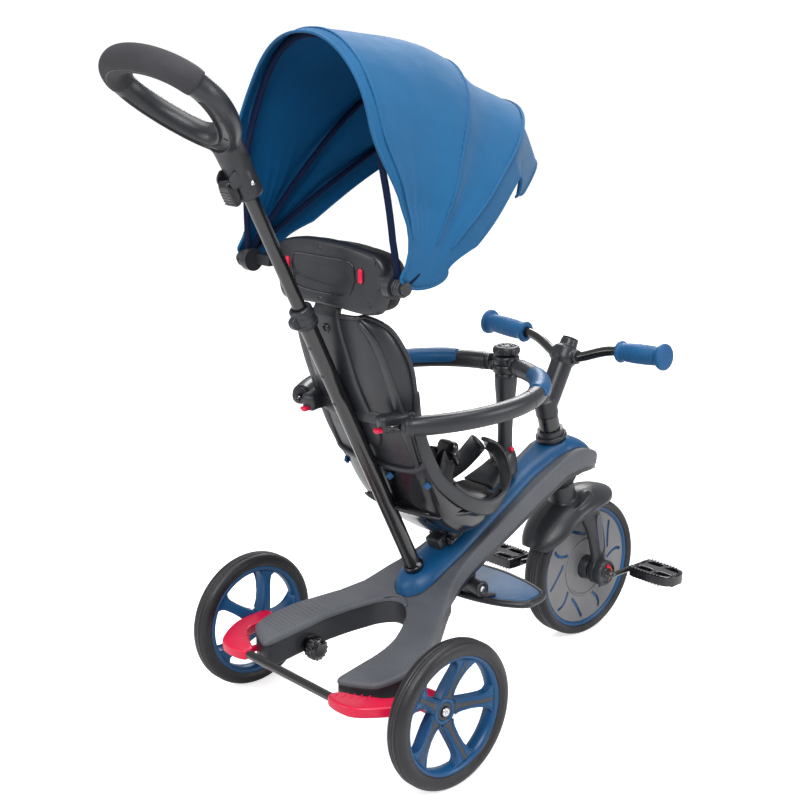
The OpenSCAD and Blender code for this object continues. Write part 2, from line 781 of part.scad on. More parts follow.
// Coloured shoe on top of the ring at its front corner.
module ring_pad(side) {
    color("#1f6296") from_axle() scale_y(side) ring_plane() ring_arc(30, 62) difference() {
        circle(r = ring_tube_r + 3, $fn = 48);
        circle(r = ring_tube_r, $fn = 48);
        translate([-30, -30]) square([60, 30]);
    }
}
module ring_pad_left() { ring_pad(1); }
module ring_pad_right() { ring_pad(-1); }

module side_button(side) {
    color("#c8102e") from_axle() scale_y(side) translate([-7, 78, 446]) rotate([0, 90, 0])
        cylinder(h = 10, r = button_r, $fn = 32);
}
module side_button_left() { side_button(1); }
module side_button_right() { side_button(-1); }

// ---------- headrest ----------

headrest_outline = [[0, 688], [60, 684], [95, 676], [107, 662], [107, 640], [97, 608], [90, 601]];

module headrest_shell() {
    color("#1a1a1c") from_axle() difference() {
        union() {
            back_slab(side_mirrored(headrest_outline), -32, 14);
            translate([-20, -plate_half_w + 0.3, 541]) cube([12, 2 * plate_half_w - 0.6, 64]);
        }
        for (y = [-72, 72]) translate([-33, y, 649]) rotate([0, 90, 0]) cylinder(h = 11, r = button_r + 1 + fit, $fn = 32);
    }
}

module headrest_pad() {
    color("#202022") from_axle()
        back_slab([for (p = side_mirrored(headrest_outline)) [p[0] * 0.95, 645 + (p[1] - 645) * 0.9]], -18, 36);
}

module headrest_buttons() {
    color("#c8102e") from_axle() for (y = [-72, 72]) translate([-34.5, y, 649]) rotate([0, 90, 0])
        cylinder(h = 10, r = button_r + 1, $fn = 32);
}

// ---------- canopy ----------

// Arms from the headrest's sides to the canopy's pivot pins.
module canopy_brackets() {
    color("#1a1a1c") from_axle() both_sides() {
        translate([canopy_pivot_x + 3, 107, canopy_pivot_z - 6]) cube([16, 30, 14]);
        axle_y(canopy_pivot_x, 140.5, canopy_pivot_z, 15, 11);
        axle_y(canopy_pivot_x, 154, canopy_pivot_z, canopy_pin_r, 16);
        axle_y(canopy_pivot_x, 162.5, canopy_pivot_z, 8, 4);
    }
}

// Flat bow of height b with round eyes around the pivot pins.
module hoop(a, b, lean, eye_r) {
    translate([canopy_pivot_x, 0, canopy_pivot_z]) rotate([0, lean, 0]) difference() {
        union() {
            translate([-4, 0, 0]) rotate([90, 0, 90]) linear_extrude(8) difference() {
                polygon([for (t = [0:6:180]) bow(a + 2, b + 2, t)]);
                polygon([for (t = [0:6:180]) bow(a - 2, b - 2, t) - [0, 0.01]]);
            }
            both_sides() axle_y(0, a, 0, 11, 4);
        }
        axle_y(0, 0, 0, eye_r, 2 * a + 20);
    }
}

module canopy_hoop_rear() {
    color("#1b1c1f") from_axle() hoop(canopy_half_w - bow_step, bow_rear, lean_rear, canopy_pin_r);
}
module canopy_hoop_middle() {
    color("#1b1c1f") from_axle() hoop(canopy_half_w, bow_middle, lean_middle, canopy_pin_r + fit);
}
module canopy_hoop_front() {
    color("#1b1c1f") from_axle() hoop(canopy_half_w + bow_step, bow_front, lean_front, canopy_pin_r + fit);
}

// Point of the fabric: reach bends the middle of the bow further forward.
function cloth_point(a, b, lean, reach, t) = let (p = bow(a, b, t), l = lean + reach * pow(sin(t), 2))
    [canopy_pivot_x + p[1] * sin(l), p[0], canopy_pivot_z + p[1] * cos(l)];

cloth_angles = [177:-8.7:3];
cloth_gap = 6.4;         // from a bow's middle line out to the fabric

// Rows of the fabric from the rear hem to the visor: half width, height, lean, reach.
cloth_rows = [[150, bow_rear - 4, -3.5, 0], [151, bow_rear, lean_rear, 0], [148, 296, 13, 0], [150, 305, 26, 0],
    [154, bow_middle, lean_middle, 0], [153, 338, 48, 0], [159.5, bow_front + 3, lean_front, 0],
    [158, 382, lean_front + 4.5, 3], [154, 386, lean_front + 4.5, 9]];

module canopy_fabric() {
    color("#0d4f8f") from_axle() sheet_solid(
        [for (r = cloth_rows) [for (t = cloth_angles) cloth_point(r[0] + cloth_gap + 1.8, r[1] + cloth_gap + 1.8, r[2], r[3], t)]],
        [for (r = cloth_rows) [for (t = cloth_angles) cloth_point(r[0] + cloth_gap, r[1] + cloth_gap, r[2], r[3], t)]]);
}

// ---------- footrest ----------

footrest_outline = [[324, 0], [322, 25], [317, 60], [306, 94], [293, 104], [276, 107], [256, 106],
    [236, 82], [223, 52], [215, 20], [213, 0]];
function inset(points) = [for (p = points) [268 + (p[0] - 268) * 0.86, p[1] * 0.93]];

// Blocks that join the hinge knuckles to the rim.
module hinge_feet() {
    both_sides() translate([213, 26, 141]) cube([16, 24, 12]);
}

module footrest_frame() {
    color("#17171a") from_axle() {
        translate([0, 0, 137]) linear_extrude(11) difference() {
            polygon(mirrored(footrest_outline));
            polygon(mirrored(inset(footrest_outline)));
        }
        axle_y(footrest_x, 0, footrest_z, foot_pin_r, 90);
        both_sides() axle_y(footrest_x, 38, footrest_z, 11, 24);
        hinge_feet();
    }
}

module footrest_plates() {
    color("#1a5f93") from_axle() difference() {
        translate([0, 0, 142]) linear_extrude(5) polygon(mirrored(inset(footrest_outline)));
        hinge_feet();
    }
}

frame_shell();
frame_deck();
spine_cover();
head_bushes();
rear_axles();
axle_knobs();
fixings();
footrest_bracket();
push_lower_tube();
push_collar();
push_upper_tube();
handle_body();
handle_foam();
handle_lever();
push_button();
rear_tyre_left();
rear_tyre_right();
rear_rim_left();
rear_rim_right();
brake_pedals();
brake_rod();
fork();
fork_inlays();
steerer_tube();
hub_caps();
front_tyre();
front_rim();
front_discs();
crank_shaft();
pedal_left();
pedal_right();
freewheel_button();
stem();
handlebar_tube();
grips();
seat_base();
seat_lever();
seat_shell();
seat_pad();
thigh_guards();
ring_post();
ring_left();
ring_right();
ring_pad_left();
ring_pad_right();
post_button();
side_button_left();
side_button_right();
headrest_shell();
headrest_pad();
headrest_buttons();
harness();
canopy_brackets();
canopy_hoop_rear();
canopy_hoop_middle();
canopy_hoop_front();
canopy_fabric();
footrest_frame();
footrest_plates();
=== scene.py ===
"""Looks of the children's tricycle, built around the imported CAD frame.

Lengths in this file are millimetres with the origin on the ground under the rear axle,
X forward, Y to the rider's left and Z up; at() turns them into the row frame in metres.
"""
import math

import bmesh
import bpy
import numpy as np
from mathutils import Matrix, Vector


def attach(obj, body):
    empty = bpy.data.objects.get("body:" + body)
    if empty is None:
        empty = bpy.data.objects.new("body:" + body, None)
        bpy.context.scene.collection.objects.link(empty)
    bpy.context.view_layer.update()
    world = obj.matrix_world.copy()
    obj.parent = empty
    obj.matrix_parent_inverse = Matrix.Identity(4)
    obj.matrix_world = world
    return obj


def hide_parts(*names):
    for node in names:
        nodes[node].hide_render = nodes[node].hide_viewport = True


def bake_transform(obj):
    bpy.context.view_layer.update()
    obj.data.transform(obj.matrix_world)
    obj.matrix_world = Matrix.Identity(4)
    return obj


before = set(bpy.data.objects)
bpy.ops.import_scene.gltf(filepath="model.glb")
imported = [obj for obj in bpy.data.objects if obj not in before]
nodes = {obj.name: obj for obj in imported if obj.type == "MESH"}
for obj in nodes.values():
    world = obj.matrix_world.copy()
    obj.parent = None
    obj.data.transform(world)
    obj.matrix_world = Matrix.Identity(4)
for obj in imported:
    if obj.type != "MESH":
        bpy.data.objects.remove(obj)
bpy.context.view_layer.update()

MM = 0.001
AXLE_X = -0.1491          # row x of the rear axle
AXLE_Z = 100.0
WHEELBASE = 495.0
FRONT_R = 112.0
HUB_Y = 208.0


def vec(x, y, z):
    return Vector((x, y, z))


UP = vec(0, 0, 1)
LEFT = vec(0, 1, 0)
FORWARD = vec(1, 0, 0)


def at(p):
    return vec(p[0] * MM + AXLE_X, p[1] * MM, p[2] * MM)


# ---------- materials ----------

def material(name, base, rough=0.4, metal=0.0, spread=0.12, grain=0.0, grain_scale=900.0,
             coat=0.0, sheen=0.0, rough_spread=0.1, specular=0.5, wear=0.0):
    """Principled material whose colour, roughness and bump vary with noise in object space."""
    m = bpy.data.materials.new(name)
    m.use_nodes = True
    nt = m.node_tree
    b = nt.nodes["Principled BSDF"]
    finish = {"Metallic": metal, "Specular IOR Level": specular, "Coat Weight": coat,
              "Coat Roughness": 0.12,
              "Sheen Weight": sheen, "Sheen Roughness": 0.45}
    for socket, value in finish.items():
        b.inputs[socket].default_value = value
    tc = nt.nodes.new("ShaderNodeTexCoord")

    def noise(scale, detail):
        node = nt.nodes.new("ShaderNodeTexNoise")
        node.inputs["Scale"].default_value = scale
        node.inputs["Detail"].default_value = detail
        nt.links.new(tc.outputs["Object"], node.inputs["Vector"])
        return node.outputs["Fac"]

    ramp = nt.nodes.new("ShaderNodeValToRGB")
    low = [c * (1 - spread) for c in base]
    high = [min(1.0, c * (1 + spread)) for c in base]
    ramp.color_ramp.elements[0].position, ramp.color_ramp.elements[1].position = 0.3, 0.7
    ramp.color_ramp.elements[0].color = (*low, 1)
    ramp.color_ramp.elements[1].color = (*high, 1)
    nt.links.new(noise(14, 6), ramp.inputs["Fac"])
    colour = ramp.outputs["Color"]
    if wear:
        geo = nt.nodes.new("ShaderNodeNewGeometry")
        edge = nt.nodes.new("ShaderNodeMapRange")
        edge.inputs["From Min"].default_value = 0.52
        edge.inputs["From Max"].default_value = 0.62
        edge.inputs["To Max"].default_value = wear
        nt.links.new(geo.outputs["Pointiness"], edge.inputs["Value"])
        mix = nt.nodes.new("ShaderNodeMix")
        mix.data_type = "RGBA"
        nt.links.new(edge.outputs["Result"], mix.inputs["Factor"])
        nt.links.new(colour, mix.inputs["A"])
        mix.inputs["B"].default_value = (*[min(1, c * 1.8 + 0.06) for c in base], 1)
        colour = mix.outputs["Result"]
    nt.links.new(colour, b.inputs["Base Color"])
    rr = nt.nodes.new("ShaderNodeMapRange")
    rr.inputs["To Min"].default_value = max(0.03, rough - rough_spread)
    rr.inputs["To Max"].default_value = min(1.0, rough + rough_spread)
    nt.links.new(noise(55, 4), rr.inputs["Value"])
    nt.links.new(rr.outputs["Result"], b.inputs["Roughness"])
    if grain:
        add_bump(m, noise(grain_scale, 2), grain, 0.0006)
    m["coords"] = tc.name
    return m


def add_bump(m, height_socket, strength, distance):
    """Adds one more bump layer in front of whatever the material has."""
    nt = m.node_tree
    b = nt.nodes["Principled BSDF"]
    bump = nt.nodes.new("ShaderNodeBump")
    bump.inputs["Strength"].default_value = strength
    bump.inputs["Distance"].default_value = distance
    if b.inputs["Normal"].is_linked:
        nt.links.new(b.inputs["Normal"].links[0].from_socket, bump.inputs["Normal"])
    nt.links.new(height_socket, bump.inputs["Height"])
    nt.links.new(bump.outputs["Normal"], b.inputs["Normal"])


def wave(m, direction, scale, distortion=0.0, profile="SIN"):
    nt = m.node_tree
    w = nt.nodes.new("ShaderNodeTexWave")
    w.wave_type = "BANDS"
    w.bands_direction = direction
    w.wave_profile = profile
    w.inputs["Scale"].default_value = scale
    w.inputs["Distortion"].default_value = distortion
    w.inputs["Detail"].default_value = 1
    nt.links.new(nt.nodes[m["coords"]].outputs["Object"], w.inputs["Vector"])
    return w.outputs["Fac"]


def weave(m, scale, strength, distance):
    """Woven threads: two crossed sets of fine bands."""
    nt = m.node_tree
    add = nt.nodes.new("ShaderNodeMath")
    add.operation = "MAXIMUM"
    nt.links.new(wave(m, "DIAGONAL", scale, 0.4), add.inputs[0])
    nt.links.new(wave(m, "Z", scale * 1.3, 0.4), add.inputs[1])
    add_bump(m, add.outputs["Value"], strength, distance)


SHELL = material("shell_black", (0.018, 0.019, 0.023), 0.34, grain=0.12, grain_scale=1500, wear=0.08,
                 specular=0.42)
GLOSS = material("gloss_black", (0.006, 0.006, 0.008), 0.2, grain=0.04, coat=0.25, rough_spread=0.06)
DECK = material("deck_grey", (0.082, 0.087, 0.1), 0.55, grain=0.25, grain_scale=1300, wear=0.25,
                specular=0.35)
COVER = material("cover_blue", (0.003, 0.062, 0.165), 0.4, grain=0.1, grain_scale=1600, wear=0.08,
                 specular=0.32)
BLUE = material("wheel_blue", (0.003, 0.055, 0.15), 0.34, grain=0.08, grain_scale=1600, wear=0.1,
                specular=0.35)
GREY = material("disc_grey", (0.15, 0.15, 0.157), 0.5, grain=0.3, grain_scale=1300)
RED = material("pedal_red", (0.56, 0.002, 0.04), 0.36, coat=0.12, grain=0.06, wear=0.05, specular=0.35)
STEEL = material("steel", (0.6, 0.6, 0.62), 0.25, metal=1.0, grain=0.08, grain_scale=500)
PAINT = material("tube_paint", (0.008, 0.008, 0.009), 0.2, coat=0.4, rough_spread=0.05, grain=0.05,
                 grain_scale=260)
TYRE = material("tyre", (0.011, 0.011, 0.013), 0.42, grain=0.3, grain_scale=700, rough_spread=0.14,
                specular=0.4)
FOAM = material("foam", (0.03, 0.03, 0.034), 0.75, grain=0.7, grain_scale=1000, specular=0.3)
GRIP = material("grip_blue", (0.004, 0.075, 0.2), 0.5, grain=0.3, grain_scale=1500, specular=0.3)
PAD = material("pad_fabric", (0.014, 0.0125, 0.012), 0.85, sheen=0.2, grain=0.3, grain_scale=700,
               specular=0.2)
WEB = material("webbing", (0.014, 0.014, 0.016), 0.75, sheen=0.15, specular=0.25)
CLOTH = material("canopy_cloth", (0.004, 0.078, 0.19), 0.68, sheen=0.1, spread=0.06, specular=0.2)
# darker copy of the canopy cloth for its inside faces: painted shade on the canopy's inside, not a separate
# lining fabric
CLOTH_PAINTED_SHADE = material("canopy_inside_painted_shade", (0.0, 0.05, 0.14), 0.8, spread=0.08, specular=0.1)
SLEEVE = material("canopy_sleeve", (0.001, 0.006, 0.028), 0.8, spread=0.08, specular=0.15, grain=0.2,
                  grain_scale=900)
DARK = material("inlay_dark", (0.03, 0.031, 0.038), 0.5, grain=0.3, grain_scale=1300)
ORANGE = material("selector_orange", (0.62, 0.07, 0.02), 0.4)

add_bump(DECK, wave(DECK, "X", 62, 0.0), 0.22, 0.0005)
weave(PAD, 420, 0.4, 0.0006)
weave(WEB, 520, 0.6, 0.0006)
weave(CLOTH, 700, 0.25, 0.0004)
weave(CLOTH_PAINTED_SHADE, 700, 0.25, 0.0004)


# ---------- mesh helpers ----------

def link(ob):
    bpy.context.scene.collection.objects.link(ob)
    return ob


def paint(ob, mat):
    """One material and smooth shading all over."""
    ob.data.materials.clear()
    ob.data.materials.append(mat)
    ob.data.shade_smooth()


def make(name, verts, faces, mat, smooth=True):
    me = bpy.data.meshes.new(name)
    me.from_pydata([at(v) for v in verts], [], faces)
    me.validate()
    ob = link(bpy.data.objects.new(name, me))
    me.materials.append(mat)
    bm = bmesh.new()
    bm.from_mesh(me)
    bmesh.ops.remove_doubles(bm, verts=bm.verts, dist=1e-7)
    bmesh.ops.recalc_face_normals(bm, faces=bm.faces)
    bm.to_mesh(me)
    bm.free()
    if smooth:
        me.shade_smooth()
    return ob


def put(ob, body, slot, *replaced):
    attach(ob, body)
    if replaced:
        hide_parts(*replaced)
    return ob


def modify(ob, kind, **settings):
    m = ob.modifiers.new(kind.lower(), kind)
    for k, v in settings.items():
        setattr(m, k, v)
    return m


def bake(ob):
    """Applies every modifier to the mesh."""
    dg = bpy.context.evaluated_depsgraph_get()
    me = bpy.data.meshes.new_from_object(ob.evaluated_get(dg), depsgraph=dg)
    ob.modifiers.clear()
    ob.data = me
    return ob


def soften(ob, width=1.0):
    modify(ob, "BEVEL", width=width * MM, segments=2, limit_method="ANGLE", angle_limit=math.radians(35),
           harden_normals=True)
    return ob


def carve(ob, cutters):
    """Takes the cutters out of the object and removes them."""
    for c in cutters:
        modify(ob, "BOOLEAN", operation="DIFFERENCE", object=c, solver="EXACT")
    bake(ob)
    for c in cutters:
        bpy.data.objects.remove(c)


def spline(points, n=8, closed=False):
    """Catmull-Rom curve through the points, n steps to each span."""
    p = np.array(points, float)
    k = len(p)
    out = []
    for i in range(k if closed else k - 1):
        if closed:
            a, b, c, d = p[i - 1], p[i], p[(i + 1) % k], p[(i + 2) % k]
        else:
            a, b, c, d = p[max(i - 1, 0)], p[i], p[i + 1], p[min(i + 2, k - 1)]
        for j in range(n):
            t = j / n
            out.append(0.5 * ((2 * b) + (c - a) * t + (2 * a - 5 * b + 4 * c - d) * t * t
                              + (3 * b - a - 3 * c + d) * t ** 3))
    if not closed:
        out.append(p[-1])
    return np.array(out)


def curve(points, n=8):
    """The same curve as a list of vectors."""
    return [Vector(q) for q in spline(points, n)]


def grid(rows, columns):
    """Faces of an open sheet whose points run row by row."""
    return [(k * columns + i, k * columns + i + 1, (k + 1) * columns + i + 1, (k + 1) * columns + i)
            for k in range(rows - 1) for i in range(columns - 1)]


def chaikin(points, times=2, closed=True):
    """Cuts corners, so that an outline gets rounded ones."""
    p = np.array(points, float)
    for _ in range(times):
        q = np.roll(p, -1, axis=0) if closed else p[1:]
        a = p if closed else p[:-1]
        cut = np.empty((2 * len(a), p.shape[1]))
        cut[0::2], cut[1::2] = 0.75 * a + 0.25 * q, 0.25 * a + 0.75 * q
        p = cut if closed else np.vstack([p[:1], cut, p[-1:]])
    return p


def skin(name, rings, mat, closed=False, caps=True, smooth=True):
    """Surface through rings that all have the same number of points."""
    n, k = len(rings[0]), len(rings)
    verts = [v for r in rings for v in r]
    faces = []
    for i in range(k if closed else k - 1):
        for j in range(n):
            a, b = i * n + j, i * n + (j + 1) % n
            c, d = ((i + 1) % k) * n + (j + 1) % n, ((i + 1) % k) * n + j
            faces.append((a, b, c, d))
    if caps and not closed:
        faces.append(tuple(range(n))[::-1])
        faces.append(tuple((k - 1) * n + j for j in range(n)))
    return make(name, verts, faces, mat, smooth)


def superellipse(n, a, b, power=2.0, shift=0.0):
    out = []
    for i in range(n):
        t = 2 * math.pi * (i + shift) / n
        c, s = math.cos(t), math.sin(t)
        out.append((a * math.copysign(abs(c) ** (2 / power), c),
                    b * math.copysign(abs(s) ** (2 / power), s)))
    return out


def sweep_rings(path, size, ref=(0, 0, 1), n=24, power=2.0, closed=False, round_ends=0.0):
    """Rings along a path. size gives (half width, half height) from 0 to 1 along it; the half width is
    square to ref and to the path."""
    p = [Vector(q) for q in path]
    k = len(p)
    if not callable(size):
        fixed = size if hasattr(size, "__len__") else (size, size)
        size = lambda t: fixed
    refs = ref if callable(ref) else (lambda t: Vector(ref))
    rings = []

    def ring(c, tangent, t, scale=1.0):
        w = tangent.cross(refs(t)).normalized()
        h = w.cross(tangent).normalized()
        a, b = size(t)
        return [c + w * u * scale + h * v * scale for u, v in superellipse(n, a, b, power)]

    for i in range(k):
        nxt, prv = (p[(i + 1) % k], p[i - 1]) if closed else (p[min(i + 1, k - 1)], p[max(i - 1, 0)])
        tangent = (nxt - prv).normalized()
        t = i / (k if closed else k - 1)
        if round_ends and not closed and i == 0:
            for s in (0.35, 0.7, 0.9):
                rings.append(ring(p[0] - tangent * round_ends * math.sqrt(1 - s * s), tangent, 0, s))
        rings.append(ring(p[i], tangent, t))
        if round_ends and not closed and i == k - 1:
            for s in (0.9, 0.7, 0.35):
                rings.append(ring(p[-1] + tangent * round_ends * math.sqrt(1 - s * s), tangent, 1, s))
    return rings


def sweep(name, path, size, mat, **kw):
    closed = kw.get("closed", False)
    return skin(name, sweep_rings(path, size, **kw), mat, closed=closed)


def axes_of(axis, ref=(0, 0, 1)):
    w = Vector(axis).normalized()
    r = Vector(ref)
    if abs(w.dot(r)) > 0.95:
        r = vec(1, 0, 0)
    u = r.cross(w).normalized()
    return u, w.cross(u).normalized(), w


def lathe(name, centre, axis, profile, mat, n=96, closed=False, ref=(0, 0, 1)):
    """Turned solid: profile is [(radius, distance along the axis)]. A closed profile is a ring."""
    u, v, w = axes_of(axis, ref)
    c = Vector(centre)
    rings = []
    for r, h in profile:
        r = max(r, 0.01)
        rings.append([c + w * h + (u * math.cos(a) + v * math.sin(a)) * r
                      for a in (2 * math.pi * i / n for i in range(n))])
    return skin(name, rings, mat, closed=closed)


def rod(r, low, high):
    """Profile of a plain pin between two distances along its axis."""
    return [(0.1, low), (r, low), (r, high), (0.1, high)]


def stud(r, low, shoulder, r_end, high):
    """Profile of a pin whose far edge is cut off from the shoulder to the end."""
    return [(0.1, low), (r, low), (r, shoulder), (r_end, high), (0.1, high)]


def plate(name, outlines, thickness, mat, centre=(0, 0, 0), u=(1, 0, 0), v=(0, 1, 0), bevel=1.0, steps=2):
    """Flat plate with rounded edges: outlines are closed 2-D loops, the first outside and the rest holes.
    u and v are the plate's axes; it is centred on centre."""
    cu = bpy.data.curves.new(name, "CURVE")
    cu.dimensions = "2D"
    cu.fill_mode = "BOTH"
    for loop in outlines:
        s = cu.splines.new("POLY")
        s.points.add(len(loop) - 1)
        for i, q in enumerate(loop):
            s.points[i].co = (q[0] * MM, q[1] * MM, 0, 1)
        s.use_cyclic_u = True
    cu.extrude = max(thickness / 2 - bevel, 0.01) * MM
    cu.bevel_depth = bevel * MM
    cu.bevel_resolution = steps
    cu.offset = -bevel * MM
    tmp = link(bpy.data.objects.new(name, cu))
    bpy.context.view_layer.update()
    dg = bpy.context.evaluated_depsgraph_get()
    me = bpy.data.meshes.new_from_object(tmp.evaluated_get(dg), depsgraph=dg)
    bpy.data.objects.remove(tmp)
    uu, vv = Vector(u).normalized(), Vector(v).normalized()
    ww = uu.cross(vv)
    c = at(centre)
    me.transform(Matrix(((uu.x, vv.x, ww.x, c.x), (uu.y, vv.y, ww.y, c.y), (uu.z, vv.z, ww.z, c.z),
                         (0, 0, 0, 1))))
    ob = link(bpy.data.objects.new(name, me))
    me.materials.clear()
    me.materials.append(mat)
    bm = bmesh.new()
    bm.from_mesh(me)
    bmesh.ops.remove_doubles(bm, verts=bm.verts, dist=1e-6)
    bmesh.ops.recalc_face_normals(bm, faces=bm.faces)
    bm.to_mesh(me)
    bm.free()
    me.shade_smooth()
    modify(ob, "WEIGHTED_NORMAL", keep_sharp=True)
    return ob


def join(name, obs, mat=None):
    """One object out of several, with the modifiers applied; materials stay as they are."""
    bm = bmesh.new()
    mats = []
    for o in obs:
        bpy.context.view_layer.update()
        dg = bpy.context.evaluated_depsgraph_get()
        me = bpy.data.meshes.new_from_object(o.evaluated_get(dg), depsgraph=dg)
        start = len(bm.faces)
        bm.from_mesh(me)
        bm.faces.ensure_lookup_table()
        for f in bm.faces[start:]:
            own = me.materials[f.material_index]
            if own not in mats:
                mats.append(own)
            f.material_index = mats.index(own)
        bpy.data.objects.remove(o)
        bpy.data.meshes.remove(me)
    me = bpy.data.meshes.new(name)
    bm.to_mesh(me)
    bm.free()
    for m in ([mat] if mat else mats):
        me.materials.append(m)
    ob = link(bpy.data.objects.new(name, me))
    me.shade_smooth()
    return ob


def piece(name, obs, body, slot, *replaced):
    """Joins the parts into one piece that rides on a body."""
    return put(join(name, obs), body, slot, *replaced)


def fuse(name, obs, mat, voxel=2.0, rounds=6, strength=0.5):
    """Melts overlapping solids into one moulded body and smooths the creases between them."""
    ob = join(name, obs, mat)
    modify(ob, "REMESH", mode="VOXEL", voxel_size=voxel * MM)
    if rounds:
        modify(ob, "SMOOTH", factor=strength, iterations=rounds)
    bake(ob)
    paint(ob, mat)
    return ob


def mirrored(ob, name):
    """The same piece on the other side of the tricycle."""
    me = ob.data.copy()
    me.transform(Matrix.Scale(-1, 4, LEFT))
    me.flip_normals()
    other = link(bpy.data.objects.new(name, me))
    for m in ob.modifiers:
        n = other.modifiers.new(m.name, m.type)
        for p in m.bl_rna.properties:
            if not p.is_readonly and p.identifier not in ("name", "type"):
                try:
                    setattr(n, p.identifier, getattr(m, p.identifier))
                except (AttributeError, TypeError):
                    pass
    return other


def repaint(mat, *names):
    """Gives kept CAD nodes a finish and slightly rounded edges."""
    for n in names:
        ob = nodes[n]
        ob.data.materials.clear()
        ob.data.materials.append(mat)
        soften(ob, 0.6)


def polar(r, degrees):
    a = math.radians(degrees)
    return (r * math.cos(a), r * math.sin(a))


def circle(r, n=48, cx=0.0, cy=0.0):
    return [(cx + r * math.cos(2 * math.pi * i / n), cy + r * math.sin(2 * math.pi * i / n))
            for i in range(n)]


def lookup(x, table):
    """Value at x of a table of (x, value) pairs, straight between them."""
    return float(np.interp(x, [t[0] for t in table], [t[1] for t in table]))


def taper(widths, heights):
    """Size for sweep(): two tables over 0 to 1, or a table and one fixed half height."""
    if isinstance(heights, (int, float)):
        heights = [(0, heights)]
    return lambda t: (lookup(t, widths), lookup(t, heights))


# ---------- camera, light and floor ----------

CAM_X, CAM_Y, CAM_Z = -1159.8, -1381.6, 950.5
YAW, PITCH, ROLL = 0.829, 0.259, -0.002
LENS = 64.04

cam_data = bpy.data.cameras.new("camera")
cam_data.lens, cam_data.sensor_width = LENS, 36
cam = link(bpy.data.objects.new("camera", cam_data))
cam.location = at((CAM_X, CAM_Y, CAM_Z))
look = vec(math.cos(YAW) * math.cos(PITCH), math.sin(YAW) * math.cos(PITCH), -math.sin(PITCH))
cam.rotation_mode = "QUATERNION"
cam.rotation_quaternion = look.to_track_quat("-Z", "Y") @ Matrix.Rotation(ROLL, 4, "Z").to_quaternion()
bpy.context.scene.camera = cam

floor_mat = material("floor", (0.8, 0.8, 0.805), 0.9, spread=0.01, specular=0.0)
bpy.ops.mesh.primitive_plane_add(size=400, location=(0, 0, 0))
floor = bpy.context.object
floor.name = "floor"
floor.data.materials.append(floor_mat)

world = bpy.data.worlds.new("studio")
bpy.context.scene.world = world
world.use_nodes = True


def white_backdrop(tree, lit, strength):
    """Adds light that only the view itself sees, so that floor and background are an even white."""
    path = tree.nodes.new("ShaderNodeLightPath")
    glow = tree.nodes.new("ShaderNodeEmission")
    glow.inputs["Strength"].default_value = strength
    add = tree.nodes.new("ShaderNodeAddShader")
    mix = tree.nodes.new("ShaderNodeMixShader")
    out = [n for n in tree.nodes if n.type in ("OUTPUT_MATERIAL", "OUTPUT_WORLD")][0]
    tree.links.new(lit, add.inputs[0])
    tree.links.new(glow.outputs[0], add.inputs[1])
    tree.links.new(path.outputs["Is Camera Ray"], mix.inputs[0])
    tree.links.new(lit, mix.inputs[1])
    tree.links.new(add.outputs[0], mix.inputs[2])
    tree.links.new(mix.outputs[0], out.inputs["Surface"])


backdrop = world.node_tree.nodes["Background"]
backdrop.inputs["Color"].default_value = (0.97, 0.98, 1.0, 1)
backdrop.inputs["Strength"].default_value = 0.5
white_backdrop(world.node_tree, backdrop.outputs[0], 0.6)
white_backdrop(floor_mat.node_tree, floor_mat.node_tree.nodes["Principled BSDF"].outputs[0], 0.66)


def lamp(name, where, target, size, watts):
    data = bpy.data.lights.new(name, "AREA")
    data.shape, data.size, data.energy = "DISK", size, watts
    ob = link(bpy.data.objects.new(name, data))
    ob.location = where
    ob.rotation_mode = "QUATERNION"
    ob.rotation_quaternion = (Vector(target) - Vector(where)).to_track_quat("-Z", "Y")


lamp("key", (-1.7, -1.5, 2.4), (0, 0, 0.45), 1.3, 62)
lamp("top", (0.2, -0.2, 3.0), (0, 0, 0.3), 2.0, 60)
lamp("fill", (-2.4, 1.0, 1.3), (0, 0, 0.4), 1.4, 22)
lamp("rim", (1.9, 1.4, 2.0), (0, 0, 0.5), 1.2, 34)
lamp("side", (1.3, -2.2, 1.2), (0.1, 0, 0.35), 1.2, 22)
bpy.context.scene.view_settings.view_transform = "Standard"


# ---------- rear wheels ----------

RIM_R = 81.0


def tyre(name, centre, r_in, r_out, width):
    h, e = r_out - r_in, width / 2
    half = [(r_in - 1.5, 0), (r_in - 1.5, e - 5), (r_in - 0.5, e - 2.6), (r_in + 1.2, e - 1.5),
            (r_in + 2.6, e - 1.5),
            (r_in + 3.4, e - 0.7), (r_in + h * 0.36, e), (r_in + h * 0.55, e - 0.15),
            (r_in + h * 0.74, e - 1.4),
            (r_in + h * 0.88, e - 3.6), (r_in + h * 0.965, e - 6.6), (r_out - 0.1, e - 9.2)]
    tread = [(r_out, 5.4), (r_out - 0.9, 5.1), (r_out - 0.9, 4.3), (r_out, 4.0), (r_out, 0.8),
             (r_out - 0.9, 0.5)]
    loop = half + [t for t in tread if t[1] < e - 9.4 + 2]
    return lathe(name, centre, LEFT, loop + [(r, -h_) for r, h_ in reversed(loop[1:])], TYRE, n=128,
                 closed=True)


HUB_DEPTH = -8.5          # the hub's face lies this far in from the middle of the tyre


def dish(r):
    """The spokes rise from the hub's face to the edge of the rim."""
    return lookup(r, [(18, HUB_DEPTH), (28, -7), (42, -2.5), (55, 2.5), (66, 6.3), (75, 7.8)])


